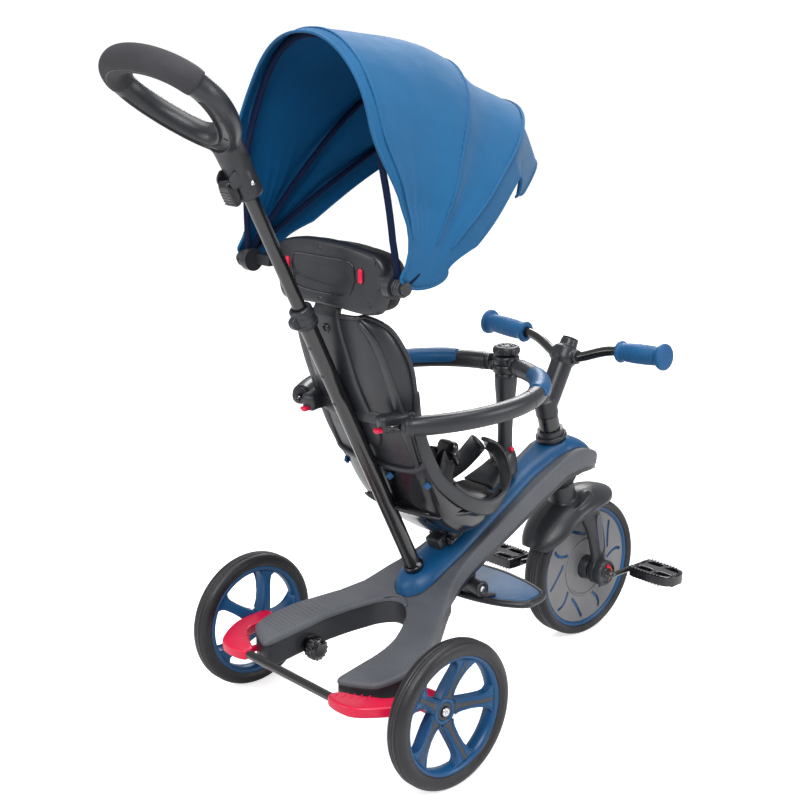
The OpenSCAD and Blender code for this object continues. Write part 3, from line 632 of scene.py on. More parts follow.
def rear_wheel(side, name):
    """u of the wheel's face runs forward and v up, seen from outside on either side."""
    c = vec(0, side * HUB_Y, AXLE_Z)
    put(tyre("tyre_rear_" + name, c, RIM_R, 100, 28.5), "rear_wheel_" + name, "tyre", "rear_tyre_" + name)
    barrel = [(RIM_R + 0.6, -11), (RIM_R + 1.6, -12.3), (RIM_R - 2.0, -12.6), (75.0, -11), (72.6, -2),
              (73.4, 4.5),
              (75.2, 7.6), (77.4, 9.6), (79.6, 10.4), (RIM_R + 0.6, 9.6)]
    parts = [lathe("barrel", c, LEFT * side, barrel, BLUE, n=128, closed=True)]
    out = vec(0, side, 0)
    radii = [13, 16, 20, 25, 30, 36, 42, 48, 54, 59, 63, 66, 69, 72, 75]
    spoke_w = [(13, 12), (20, 10), (28, 8.4), (42, 7.6), (54, 8.4), (62, 10.6), (68, 14.5), (72, 19),
               (75, 24)]
    inlay_w = [(19, 8.5), (24, 5.6), (30, 3.8), (60, 3.1), (71, 2.6)]
    for k in range(5):
        u = polar(1, 72 * k)
        along, across = vec(u[0], 0, u[1]), vec(-u[1], 0, u[0])

        def on_face(r, shift=0.0, lift=0.0):
            return c + along * r + across * shift + out * (dish(r) + lift)
        parts.append(sweep("spoke", [on_face(r, 0, -8.5) for r in radii],
                           lambda t: (lookup(13 + 62 * t, spoke_w), 8.5), BLUE, ref=out, n=32,
                           power=7))
        rr = [19, 21, 24, 27, 30, 36, 42, 50, 58, 65, 71]
        parts.append(sweep("inlay", [on_face(r, 0, 0.1) for r in rr],
                           lambda t: (lookup(19 + 52 * t, inlay_w), 0.8), DARK, ref=out, n=16,
                           power=4, round_ends=1.5))
        for s in (-1, 1):
            parts.append(sweep("ridge", [on_face(r, s * (lookup(r, inlay_w) + 0.9), 0.2) for r in rr], 1.1,
                               BLUE, ref=out, n=8, round_ends=1))
            parts.append(sweep("edge", [on_face(r, s * (lookup(r, spoke_w) - 1.0), -0.6)
                                        for r in radii[2:]], 1.1, BLUE, ref=out, n=8))
    parts.append(lathe("hub", c, out, [(6.2, -16), (13, -16), (15.5, -14.5), (18.5, -10), (18.2, -8),
                                       (14.6, -7), (12.8, -7.4), (12.2, -9),
                                       (6.2, -9)], BLUE, n=64, closed=True))
    parts.append(lathe("hub_dark", c, out, [(6.2, -8), (11.6, -8), (12.4, -8.8), (12.4, -10), (6.2, -10)],
                       DARK, n=48, closed=True))
    piece("wheel_rear_" + name, parts, "rear_wheel_" + name, "blue_plastic", "rear_rim_" + name)
    bolt = lathe("bolt_rear_" + name, c, out,
                 [(0.1, -5.2), (1.6, -5.2), (1.9, -4.4), (4.6, -4.4), (5.6, -5), (6.4, -6.2), (6.4, -8)],
                 STEEL, n=24)
    put(bolt, "rear_wheel_" + name, "steel")
    return lathe("axle", c, out, [(0.1, -8.6), (6, -8.6), (6, 61 - HUB_Y), (0.1, 61 - HUB_Y)], STEEL, n=48)


put(join("axle_stubs", [rear_wheel(1, "left"), rear_wheel(-1, "right")]), "frame", "steel", "rear_axles")
screws = []
for side in (-1, 1):
    for x, z in ((-20, 89.5), (20, 96)):          # heads below the arms
        screws.append(lathe("screw", (x, side * 108, z), (0, 0, -1),
                            [(0.1, -1), (4, -1), (4, 2.2), (3.4, 3), (2, 3), (1.6, 2), (0.1, 2)], STEEL,
                            n=32, ref=(1, 0, 0)))
piece("arm_screws", screws, "frame", "steel", "fixings")


# ---------- front wheel, fork, cranks ----------

HUB_F = vec(WHEELBASE, 0, FRONT_R)
DISC_R = 92.0


def front_wheel():
    put(tyre("tyre_front", HUB_F, 99, FRONT_R, 40), "front_wheel", "tyre", "front_tyre")
    ring = [(100.0, -14.5), (98.6, -15.8), (95.6, -15.2), (92.6, -13.4), (91.0, -11), (91.0, 11),
            (92.6, 13.4),
            (95.6, 15.2), (98.6, 15.8), (100.0, 14.5)]
    parts = [lathe("ring", HUB_F, LEFT, ring, BLUE, n=128, closed=True),
             lathe("backing", HUB_F, LEFT, [(20, -11.6), (93, -11.6), (93, 11.6), (20, 11.6)], BLUE, n=96,
                   closed=True),
             lathe("hub", HUB_F, LEFT, [(6.5, -27.5), (17, -27.5), (18, -26.5), (18, 26.5), (17, 27.5),
                                        (6.5, 27.5)],
                   SHELL, n=48, closed=True)]
    piece("wheel_front", parts, "front_wheel", "blue_plastic", "front_rim")

    def slot(path, w):
        p = np.array(spline(path, 6))
        d = np.gradient(p, axis=0)
        nrm = np.stack([-d[:, 1], d[:, 0]], 1) / np.linalg.norm(d, axis=1)[:, None] * w / 2
        return chaikin(np.vstack([p + nrm, (p - nrm)[::-1]]), 2)

    slots = []
    for k in range(5):
        a = 72 * k
        slots.append(slot([polar(86, a + 6), polar(76, a + 9), polar(64, a + 8), polar(52, a + 2)], 5.0))
        slots.append(slot([polar(85, a + 50), polar(74, a + 44), polar(63, a + 34), polar(56, a + 20)],
                          5.0))
    for side in (-1, 1):
        out = vec(0, side, 0)
        cover = plate("disc", [circle(DISC_R - 0.4, 128), circle(19.0, 48)] + slots, 2.4, GREY,
                      HUB_F + out * 12.0,
                      FORWARD, UP, 0.7, 2)
        rib = lathe("disc_rib", HUB_F, out, [(44, 13.0), (45.5, 14.3), (47.5, 14.3), (49, 13.0)], GREY,
                    n=96, closed=True)
        name = "left" if side > 0 else "right"
        put(join("disc_front_" + name, [cover, rib]), "front_wheel", "grey_plastic", "front_discs")


front_wheel()

SLOPE = math.radians(16)
STEER = vec(-math.sin(SLOPE), 0, math.cos(SLOPE))


def steer_at(z):
    return vec(485 - (z - FRONT_R) * math.tan(SLOPE), 0, z)


def fork():
    crown = []
    for t in range(66, 158, 4):      # fender shell over the tyre, widest above the legs
        a = math.radians(t)
        r = 134.0
        s = (t - 110) / 48.0
        w = 45 * math.sqrt(max(0.04, 1 - abs(s) ** 3.2))
        c = HUB_F + vec(math.cos(a) * (r - 9), 0, math.sin(a) * (r - 9))
        radial = vec(math.cos(a), 0, math.sin(a))
        ring = []
        for u, v in superellipse(32, w, 10, 2.6):
            drop = 16 * (u / 45) ** 2
            ring.append(c + LEFT * u + radial * (v - drop))
        crown.append(ring)
    parts = [skin("crown", crown, SHELL)]
    for side in (-1, 1):
        leg = [(463, 28, 236), (474, 33, 214), (484, 36.5, 190), (492, 37.5, 160), (496, 37.5, 135),
               (495, 37.5, 112)]
        path = [vec(x, y * side, z) for x, y, z in spline(leg, 5)]
        width = lambda t: (7.5, lookup(t, [(0, 24), (0.35, 19), (0.7, 15.5), (1, 14)]))
        parts.append(sweep("leg", path, width, SHELL, ref=LEFT.cross(vec(0, 0, 1)), n=28, power=2.8))
        parts.append(lathe("foot", HUB_F, vec(0, side, 0),
                           [(7, 30.5), (17, 30.5), (19.5, 32), (20.5, 35), (20.5, 43.5),
                                                                (7, 43.5)], SHELL, n=64, closed=True))
    neck = [(21.2, 0), (21.2, 10), (21.8, 26), (23.5, 40), (27, 52)]
    parts.append(lathe("neck", steer_at(262), -STEER, [(0.1, 0)] + neck + [(0.1, 60)], SHELL, n=64))
    body = fuse("fork_body", parts, SHELL, 1.6, 5)
    room = FRONT_R + 5.2      # the tyre's space between the legs
    cut = [lathe("cut", HUB_F, LEFT, [(0.1, -29.3), (room, -29.3), (room, 29.3), (0.1, 29.3)], SHELL,
                 n=128)]
    for side in (-1, 1):
        loop = [(482, 213), (492, 210), (500, 180), (504, 150), (500, 140), (491, 142), (486, 165),
                (479, 195)]
        cut.append(plate("cut_slot", [chaikin(loop, 2)], 6, SHELL,
                         (0, side * 46, 0), FORWARD, UP, 0.5, 1))
    carve(body, cut)
    body.data.materials.clear()
    body.data.materials.append(SHELL)
    put(body, "steering", "shell_black", "fork")
    leg_slot = [(483, 210), (491, 207), (498, 180), (501.5, 150), (498, 143), (492.5, 145), (488, 166),
                (481, 195)]
    inlays = [plate("leg_inlay", [chaikin(leg_slot, 2)], 2.4, DECK, (0, side * 43.6, 0), FORWARD, UP, 0.6,
                    2)
              for side in (-1, 1)]
    piece("fork_leg_inlays", inlays, "steering", "grey_plastic", "fork_inlays")
    for side, name in ((-1, "right"), (1, "left")):
        out = vec(0, side, 0)
        cap = lathe("hub_cap_" + name, HUB_F, out,
                    [(6.4, 44), (20.2, 44), (20.5, 45), (20.5, 55), (19.4, 57.2), (17.4, 58), (14.5, 58),
                     (13.8, 56.6),
                     (8.6, 56.6), (8.0, 57.6), (6.4, 57.6)], SHELL, n=64, closed=True)
        marks = []
        for a in (55, 125, 235, 305):
            p = vec(polar(16, a)[0], 0, polar(16, a)[1])
            marks.append(lathe("pip", HUB_F + p, out, stud(1.1, 57, 58.4, 0.8, 58.7), DARK, n=12))
        arc = [HUB_F + out * 57.2 + vec(polar(11.2, a)[0], 0, polar(11.2, a)[1])
               for a in range(-70, 71, 10)]
        marks.append(sweep("dial", arc, (1.6, 0.8), ORANGE, ref=out, n=8))
        put(join("hub_cap_" + name, [cap] + marks), "steering", "shell_black", "hub_caps")


fork()


def cranks():
    parts = [lathe("axle", HUB_F, LEFT, rod(6, -64, 64), PAINT, n=32)]
    for side in (-1, 1):
        pin_x = WHEELBASE - side * 60
        path = [(WHEELBASE, side * 58, FRONT_R), (WHEELBASE, side * 62.5, FRONT_R),
                (WHEELBASE - side * 3, side * 65.5, FRONT_R),
                (WHEELBASE - side * 12, side * 66.5, FRONT_R), (WHEELBASE - side * 48, side * 67, FRONT_R),
                (WHEELBASE - side * 57, side * 68.5, FRONT_R), (pin_x, side * 72.5, FRONT_R),
                (pin_x, side * 80, FRONT_R),
                (pin_x, side * 142, FRONT_R)]
        parts.append(sweep("crank", spline(path, 5), 4.3, PAINT, ref=(0, 0, 1), n=16))
    piece("crank", parts, "cranks", "black_steel", "crank_shaft")
    for side, name in ((1, "left"), (-1, "right")):
        c = vec(WHEELBASE - side * 60, side * 111, FRONT_R)
        outer = chaikin([(-26, -37), (-22, -39), (22, -39), (26, -37), (26, 24), (15, 38.5), (-15, 38.5),
                         (-26, 24)], 2)
        holes = []
        for s in (-1, 1):
            holes.append(chaikin([(s * 8.5, -31), (s * 19.5, -31), (s * 20, -4), (s * 12.5, -2),
                                  (s * 8.5, -6)], 2))
            holes.append(chaikin([(s * 8.5, 6), (s * 13, 4), (s * 20, 6), (s * 20, 21), (s * 12, 31.5),
                                  (s * 8.5, 31.5)], 2))
        if side < 0:
            holes = [[(x, y) for x, y in reversed(h)] for h in holes]
        block = plate("block", [outer] + holes, 16, GLOSS, c, (1, 0, 0), (0, side, 0), 2.0, 3)
        parts = [block, sweep("spine", [c + vec(0, y * side, 0) for y in (-38, -30, 0, 30, 37)], (7.6, 6.6),
                              GLOSS, n=24,
                              power=2.6)]
        for y in (-36, -33, 33.5, 36):      # ribs across both ends of the tread
            for z in (-8.6, 8.6):
                parts.append(sweep("rib", [c + vec(x, y * side, z) for x in (-13, 0, 13)], (0.8, 0.7),
                                   GLOSS, n=8))
        for s in (-1, 1):
            for y in range(-30, 24, 6):
                for z in (-8.4, 8.4):
                    parts.append(sweep("tooth",
                                       [c + vec(s * 21.5, y * side, z), c + vec(s * 25, y * side, z)],
                                       (0.9, 0.9), GLOSS, n=8))
        piece("pedal_" + name + "_body", parts, "pedal_" + name, "shell_black", "pedal_" + name)


cranks()

# ---------- handlebar ----------

BAR_PATH = [(446, 0, 463), (449, 26, 464), (461, 82, 481), (461, 176, 487)]
STEM_FOOT = vec(409, 0, 397)
STEM_DIR = vec(0.475, 0, 0.88)


def handlebar():
    barrel = lathe("barrel", STEM_FOOT, STEM_DIR,
                   [(0.1, -16), (15, -12), (16.6, 0), (17, 20), (17, 62), (19.6, 66), (20.4, 70),
                   (20.4, 82), (19.4, 86), (15, 89), (13.6, 90), (13.4, 95), (13.2, 99.5), (12, 101.5),
                                                   (7, 102.4), (0.1, 102.4)], SHELL, n=64)
    lower = lathe("lower", steer_at(376), STEER,
                  [(0.1, 0.4), (16.5, 0.4), (17.3, 1.6), (17.3, 16), (16.8, 26), (0.1, 34)], SHELL, n=64)
    sleeve = sweep("sleeve", [vec(447, y, 463.4) for y in (-25, -16, 0, 16, 25)],
                   lambda t: (10.5 + 3 * math.sin(math.pi * t),) * 2,
                   SHELL, n=32)
    body = fuse("stem_body", [barrel, lower, sleeve], SHELL, 1.2, 5)
    put(body, "handlebar", "shell_black", "stem")
    cap = []
    for k in range(8):
        a = math.radians(45 * k)
        u, v, w = axes_of(STEM_DIR)
        p = STEM_FOOT + STEM_DIR * 101.4 + (u * math.cos(a) + v * math.sin(a)) * 8.4
        cap.append(lathe("notch", p, STEM_DIR, stud(1.5, 0, 1.4, 1.1, 1.8), GLOSS, n=12))
    cap.append(lathe("rim", STEM_FOOT, STEM_DIR, [(10.4, 101.6), (10.8, 103), (12.2, 103), (12.8, 101.6)],
                     GLOSS, n=48, closed=True))
    piece("stem_cap", cap, "handlebar", "shell_black")
    clip = lathe("stem_pin", steer_at(350) + vec(15.4, 0, 4), vec(math.cos(SLOPE), 0, math.sin(SLOPE)),
                 stud(3.2, -2, 1.2, 2.4, 2), STEEL, n=20)
    put(clip, "steering", "steel")
    half = curve(BAR_PATH, 10)
    path = [vec(p.x, -p.y, p.z) for p in reversed(half[1:])] + half
    put(sweep("handlebar_bend", path, 7.5, PAINT, ref=(1, 0, 0), n=32), "handlebar", "black_steel",
        "handlebar_tube")
    d = (vec(461, 176, 487) - vec(461, 82, 481)).normalized()
    start = vec(461, 95, 481.9)
    profile = [(7.6, -2.4), (13, -2.4), (15.6, -1.2), (16.4, 0.8), (15.8, 2.8), (14.2, 4.6), (13.6, 7),
               (13.4, 10)]
    for k in range(12):       # finger rings of the soft grip
        s = 12 + k * 4.6
        bulge = 0.9 * math.sin(math.pi * min(1, (k + 1) / 12))
        profile += [(13.2 + bulge, s), (13.9 + bulge, s + 1.6), (13.9 + bulge, s + 2.8),
                    (13.2 + bulge, s + 4.4)]
    profile += [(13.6, 69), (15.6, 72), (18.6, 74.4), (19.5, 76.8), (19.4, 79.6), (18, 81.2), (14, 82.2),
                (7, 82.4), (0.1, 82.4),
                (0.1, 76), (7.6, 76)]
    left = lathe("grip_left", start, d, profile, GRIP, n=64, closed=True)
    right = mirrored(left, "grip_right")
    for ob in (left, right):
        put(ob, "handlebar", "blue_rubber", "grips")


handlebar()
repaint(SHELL, "head_bushes")
repaint(PAINT, "steerer_tube")
repaint(RED, "freewheel_button")


# ---------- frame ----------

PLAN_OUTER = [(-62, 118), (-52, 132), (-20, 139), (0, 138), (20, 133.5), (40, 125), (60, 113), (80, 101),
              (100, 89),
              (120, 77), (140, 66), (165, 55), (200, 46), (260, 42), (330, 41.5), (400, 42), (440, 46),
              (470, 44),
              (490, 35), (503, 20), (508, 7)]
PLAN_INNER = [(104, 5), (101, 16), (90, 31), (80, 39.5), (60, 51.5), (40, 61.5), (20, 67.5), (0, 69.6),
              (-20, 71),
              (-50, 72.5), (-74, 74), (-79, 80)]
DECK_TOP = [(-90, 128), (-64, 130), (-20, 135.5), (0, 138), (40, 146), (80, 156.5), (110, 168), (140, 187),
            (170, 202),
            (235, 233), (300, 264), (360, 294), (418, 322), (436, 325), (452, 323.5), (480, 314),
            (510, 297)]


def deck_z(x):
    return lookup(x, DECK_TOP)


def moulded(name, shrink, top, depth, mat, bevel):
    """Y-shaped body between two depths below the deck's top line."""
    outer = [(x, y - shrink) for x, y in PLAN_OUTER]
    inner = [(x + (shrink if y < 12 else 0), y + shrink) for x, y in PLAN_INNER]
    loop = chaikin(outer + [(x, -y) for x, y in reversed(outer)] + [(x, -y) for x, y in reversed(inner)]
                   + inner, 2)
    height = 40.0
    ob = plate(name, [loop], height, mat, (0, 0, 200 - height / 2), bevel=bevel, steps=4)
    bake(ob)
    modify(ob, "REMESH", mode="VOXEL", voxel_size=2.2 * MM)
    modify(ob, "SMOOTH", factor=0.5, iterations=3)
    bake(ob)
    co = np.zeros(len(ob.data.vertices) * 3)
    ob.data.vertices.foreach_get("co", co)
    co = co.reshape(-1, 3) / MM
    x = co[:, 0] - AXLE_X / MM
    below = np.clip(200 - co[:, 2], 0, height)
    tops = np.interp(x, [t[0] for t in DECK_TOP], [t[1] for t in DECK_TOP])
    a = np.array([top(v) for v in x])
    b = np.array([depth(v) for v in x])
    flat = np.clip(below / bevel, 0, 1) * bevel
    rest = np.clip((below - bevel) / (height - bevel), 0, 1) * (b - a - bevel)
    d = a + flat + rest
    co[:, 2] = tops - d
    share = np.clip(d / 40, 0, 1)      # the spine's sides draw in towards the underside
    co[:, 1] = np.where(x > 150, co[:, 1] * (1 - 0.10 * share), co[:, 1])
    co *= MM
    ob.data.vertices.foreach_set("co", co.ravel())
    ob.data.update()
    modify(ob, "SMOOTH", factor=0.5, iterations=2)
    bake(ob)
    paint(ob, mat)
    return ob


def skin_depth(x):
    return 9 if x < 110 else 9 + (x - 110) * 0.54 if x < 160 else 36 if x < 440 else 36 - (x - 440) * 0.3


def shell_depth(x):
    return 43 if x < 440 else 43 - (x - 440) * 0.3


deck = moulded("deck", 0.0, lambda x: 0.0, lambda x: skin_depth(x) - 0.8, DECK, 4.0)
put(deck, "frame", "deck_grey", "frame_deck")
shell = moulded("underframe", 1.6, lambda x: skin_depth(x) * 0.6, shell_depth, SHELL, 2.5)
pocket = rod(17.5, -14, 14)      # round pockets for the knobs on the axle line
carve(shell, [lathe("cut", (0, side * 60, AXLE_Z), LEFT, pocket, SHELL, n=48) for side in (-1, 1)])
shell.data.materials.clear()
shell.data.materials.append(SHELL)
socket = lathe("head_socket", steer_at(262), STEER,
               [(20.1, 1), (22.5, 1), (27, 8), (33, 24), (36, 44), (30, 44), (20.1, 40)],
               SHELL, n=64, closed=True)
put(socket, "frame", "shell_black")
put(shell, "frame", "shell_black", "frame_shell")

COVER_SIDE = [(108, 178), (112, 187), (120, 196), (132, 203.5), (150, 211.5), (235, 252), (330, 297.5),
              (400, 331), (418, 340),
              (430, 342.5), (440, 341.5), (456, 336), (470, 329), (484, 319), (494, 308)]
COVER_PLAN = [(108, 2), (109.5, 10), (114, 20), (123, 29), (138, 33.5), (200, 33.5), (280, 28), (360, 23),
              (400, 27),
              (425, 34), (455, 34), (470, 31), (482, 24), (490, 14), (494, 3)]


def cover():
    rings = []
    xs = sorted(set([108.3, 109.5, 111, 113, 116, 120] + list(range(125, 480, 7))
                    + [482, 486, 489.5, 492, 493.5]))
    for x in xs:
        w = lookup(x, COVER_PLAN)
        top, base = lookup(x, COVER_SIDE), deck_z(x) - 3
        lift = max(top - deck_z(x), 0.6)
        ring = []
        for i in range(25):      # from the left edge over the crown to the right edge
            s = 1 - i / 12
            y = w * math.sin(s * math.pi / 2)
            rise = (1 - abs(y / w) ** 3.2) ** 0.55 if abs(y) < w else 0.0
            crown = 0.82 + 0.18 * (1 - (y / w) ** 2)
            ring.append(vec(x, y, deck_z(x) + 0.2 + lift * rise * crown))
        ring.append(vec(x, -w, base))
        ring.append(vec(x, w, base))
        rings.append(ring)
    ob = skin("spine_panel", rings, COVER)
    modify(ob, "SUBSURF", levels=1, render_levels=1)
    bake(ob)
    # collar recess at the neck and the oval recess around the foot of the push bar
    cut = [lathe("cut", steer_at(343), STEER, rod(21.5, -40, 40), COVER, n=64),
           lathe("cut", BAR_FOOT, BAR_DIR, rod(13.6, -20, 60), COVER, n=48)]
    carve(ob, cut)
    ob.data.materials.clear()
    ob.data.materials.append(COVER)
    put(ob, "frame", "blue_plastic", "spine_cover")
    rim = []
    for side in (-1, 1):
        rim += [vec(x, side * (lookup(x, COVER_PLAN) + 0.2), deck_z(x) + 0.2)
                for x in (xs if side > 0 else xs[::-1])]
    put(sweep("panel_gap", rim, (0.9, 0.8), SHELL, n=8, closed=True), "frame", "shell_black")
    put(lathe("neck_ring", steer_at(343), STEER,
              [(20.2, -4), (23.4, -4), (24.2, -2.2), (24.0, 1.2), (22.6, 2.6), (20.2, 2.6)],
              SHELL, n=64, closed=True), "frame", "shell_black")


BAR_LEAN = math.radians(26.3)
BAR_DIR = vec(-math.sin(BAR_LEAN), 0, math.cos(BAR_LEAN))
BAR_FOOT = vec(133, 0, 205)


def bar_at(s):
    return BAR_FOOT + BAR_DIR * s


cover()


def rear_end():
    """Socket at the foot of the push bar, ridges of the deck, knobs and the brake."""
    put(lathe("bar_socket", BAR_FOOT, BAR_DIR,
              [(11.6, -8), (13.4, -8), (14.2, 2.6), (15.0, 4.6), (14.6, 6), (12.6, 6.6), (11.6, 6.2)],
              GLOSS, n=48, closed=True), "frame", "shell_black")
    edge = [vec(x, y, deck_z(x) + 0.3) for x,
            y in spline([(96, -22), (103, -13), (106.5, 0), (103, 13), (96, 22)], 6)]
    put(sweep("deck_ledge", edge, (2.6, 1.5), DECK, n=12, round_ends=2), "frame", "deck_grey")
    lines = []
    for side in (-1, 1):
        for k in range(13):
            x = -46 + k * 6.5
            inner = lookup(x, PLAN_INNER[::-1]) + 8
            outer = lookup(x, PLAN_OUTER) - 8
            pts = [vec(x + 5 * s, side * (inner + (outer - inner) * s), deck_z(x + 5 * s) + 0.15)
                   for s in (0, 0.25, 0.5, 0.75, 1)]
            lines.append(sweep("line", pts, (0.45, 0.35), DECK, n=6))
    piece("grip_lines", lines, "frame", "deck_grey")
    for side, name in ((1, "left"), (-1, "right")):
        profile = [(0.1, 49.5), (9, 49.5), (11, 50.4), (12, 52)]
        for k in range(4):
            profile += [(14.6, 52.6 + k * 3.4), (15.4, 53.4 + k * 3.4), (15.4, 54.6 + k * 3.4),
                        (14.4, 55.4 + k * 3.4)]
        profile += [(14, 70), (0.1, 70)]
        knob = [lathe("knob", (0, 0, AXLE_Z), vec(0, side, 0), profile, GLOSS, n=64)]
        for k in range(14):
            u, w = polar(15.2, 360 / 14 * k)
            knob.append(sweep("rib", [vec(u, side * 52.5, AXLE_Z + w), vec(u, side * 67, AXLE_Z + w)], 1.1,
                              GLOSS, n=8,
                              ref=(1, 0, 0)))
        piece("axle_knob_" + name, knob, "frame", "shell_black", "axle_knobs")
        plate_loop = chaikin([(-105, 90), (-109, 112), (-106, 139), (-84, 160), (-50, 181), (-20, 186),
                              (5, 187), (9, 180), (8, 160),
                              (-2, 154), (-30, 154), (-52, 149), (-62, 134), (-72, 120), (-79, 104),
                              (-84, 92), (-95, 87)], 2)
        pad = plate("pad", [[(x, side * y) for x, y in (plate_loop if side > 0 else plate_loop[::-1])]], 15,
                    RED,
                    (0, 0, 111), FORWARD, LEFT, 3.6, 4)
        parts = [pad, lathe("boss", (0, side * 170, AXLE_Z), LEFT,
                            [(6.2, -18), (12, -18), (13, -17), (13, 17), (12, 18), (6.2, 18)],
                            RED, n=48, closed=True)]
        for k in range(5):       # raised bars on the tread of the pedal
            s = k / 4
            a = vec(-100 + 22 * s, side * (100 + 34 * s), 118.2)
            parts.append(sweep("bar", [a, a + vec(13, -side * 5, 0)], (1.3, 0.8), RED, n=10,
                               round_ends=1.2))
        under = chaikin([(-100, 104), (-98, 96), (-74, 92), (-50, 98), (-40, 104)], 2)
        parts.append(plate("web", [under], 5, RED, (0, side * 120, 0), FORWARD, UP, 1.2, 2))
        piece("brake_pedal_" + name, parts, "brake", "red_plastic", "brake_pedals")


rear_end()
repaint(PAINT, "push_lower_tube", "push_upper_tube", "brake_rod")
repaint(STEEL, "push_button")
repaint(SHELL, "footrest_bracket")


def push_bar():
    base = 440
    collar = [lathe("collar", bar_at(base), BAR_DIR,
                    [(11.6, -22), (14.4, -22), (15.2, -20.5), (15.2, 4), (14, 6), (9.3, 6), (9.3, -1),
                     (11.6, -1)],
                    SHELL, n=48, closed=True)]
    u = vec(-math.cos(BAR_LEAN), 0, -math.sin(BAR_LEAN))
    tab = plate("tab", [chaikin([(10, -18), (20, -16), (23, -10), (22.5, -3), (19, 0), (10, 2)], 2)], 10,
                SHELL, bar_at(base), u, BAR_DIR,
                1.6, 3)
    collar.append(tab)
    for s in (-16, -4):
        collar.append(lathe("band", bar_at(base + s), BAR_DIR,
                            [(15, -1.4), (16.0, -1), (16.0, 1), (15, 1.4)], SHELL, n=48, closed=True))
    piece("bar_collar", collar, "frame", "shell_black", "push_collar")
    marks = [lathe("stop", bar_at(s) + u * 0.2, u, stud(2.6, 9, 11.9, 2.1, 12.2), GLOSS, n=20)
             for s in (300, 345, 390)]
    piece("bar_holes", marks, "frame", "shell_black")


push_bar()

LOOP_C = vec(-235, 0, 867)
LOOP_TILT = math.radians(39)
LOOP_N = vec(math.sin(LOOP_TILT), 0, math.cos(LOOP_TILT))


def loop_point(t):
    a = math.radians(t)
    return LOOP_C + vec(-math.cos(LOOP_TILT), 0, math.sin(LOOP_TILT)) * 75 * math.sin(a) \
        + LEFT * 75 * math.cos(a) * (1 + 0.3 * math.sin(a))


def handle():
    whole = [loop_point(t) for t in range(0, 360, 6)]
    ring = sweep("ring", whole, (14.2, 14.6), SHELL, ref=LOOP_N, n=32, power=2.3, closed=True)
    neck_path = curve([bar_at(612), bar_at(640), bar_at(662),
                       (bar_at(684) + loop_point(270)) / 2 + vec(0, 0, 2),
                        loop_point(270) + vec(-8, 0, 10)], 8)
    neck = sweep("neck", neck_path, taper([(0, 17.5), (0.3, 17.5), (0.55, 21), (0.8, 31), (1, 40)],
                                          [(0, 17.5), (0.5, 16.5), (1, 12.5)]), SHELL, ref=LOOP_N, n=36,
                 power=2.5)
    lower = lathe("lower", bar_at(608), BAR_DIR,
                  [(0.1, 0), (16.5, 0), (17.8, 1.6), (18.2, 8), (18.2, 32), (16, 40), (0.1, 44)], SHELL,
                  n=48)
    body = fuse("handle_shell", [ring, neck, lower], SHELL, 1.7, 14, 0.6)
    cuts = []
    channel = [loop_point(t) - LOOP_N * 13.5 for t in range(168, 373, 6)]
    cuts.append(sweep("cut", channel, (7.0, 6.0), SHELL, ref=LOOP_N, n=20, power=3, round_ends=5))
    for t in (200, 236, 304, 340):
        cuts.append(lathe("cut", loop_point(t) - LOOP_N * 10, -LOOP_N, rod(2.4, -9, 9), SHELL, n=16))
    cuts.append(lathe("cut", bar_at(606), BAR_DIR, rod(9.3, -4, 12), SHELL, n=32))
    carve(body, cuts)
    paint(body, SHELL)
    put(body, "push_bar", "shell_black", "handle_body")
    size = lambda t: (lookup(t, [(0, 15.4), (0.04, 16.2), (0.96, 16.2), (1, 15.4)]),) * 2
    foam = sweep("foam_sleeve", [loop_point(t) for t in np.arange(24, 156.5, 2.5)], size, FOAM, ref=LOOP_N,
                 n=48, power=2.15)
    put(foam, "push_bar", "foam", "handle_foam")
    seam = sweep("foam_seam", [loop_point(t) - LOOP_N * 16.1 for t in range(26, 155, 3)], (0.7, 0.45),
                 SHELL, ref=LOOP_N, n=8)
    put(seam, "push_bar", "foam")
    u = vec(-math.cos(BAR_LEAN), 0, -math.sin(BAR_LEAN))
    lever = [plate("lever", [chaikin([(17, 1), (29, 0), (31, 6), (31, 26), (27, 33), (19, 34), (17, 28)],
                                     2)], 20, GLOSS, bar_at(610), u,
                   BAR_DIR, 2.2, 3)]
    for k in range(5):
        a = bar_at(615 + k * 4) + u * 30.4
        lever.append(sweep("rib", [a - LEFT * 8, a, a + LEFT * 8], (1.2, 1.0), GLOSS, n=10, ref=BAR_DIR))
    piece("squeeze_lever", lever, "handle_lever", "shell_black", "handle_lever")
    cheeks = [plate("cheek", [chaikin([(10, 20), (24, 22), (27, 30), (24, 38), (12, 44)], 2)], 3, SHELL,
                    bar_at(610) + LEFT * (s * 12.6), u,
                    BAR_DIR, 0.8, 2) for s in (-1, 1)]
    cheeks.append(lathe("screw", bar_at(628) + vec(0, -17.2, 0), -LEFT, stud(3, 0, 1.2, 2.2, 1.8), STEEL,
                        n=20))
    piece("handle_cheeks", cheeks, "push_bar", "shell_black")


handle()


# ---------- footrest ----------

FOOT_LOOP = [(324, 0), (322, 25), (317, 60), (306, 94), (293, 104), (276, 107), (256, 106), (236, 82),
             (223, 52), (215, 20), (213, 0)]


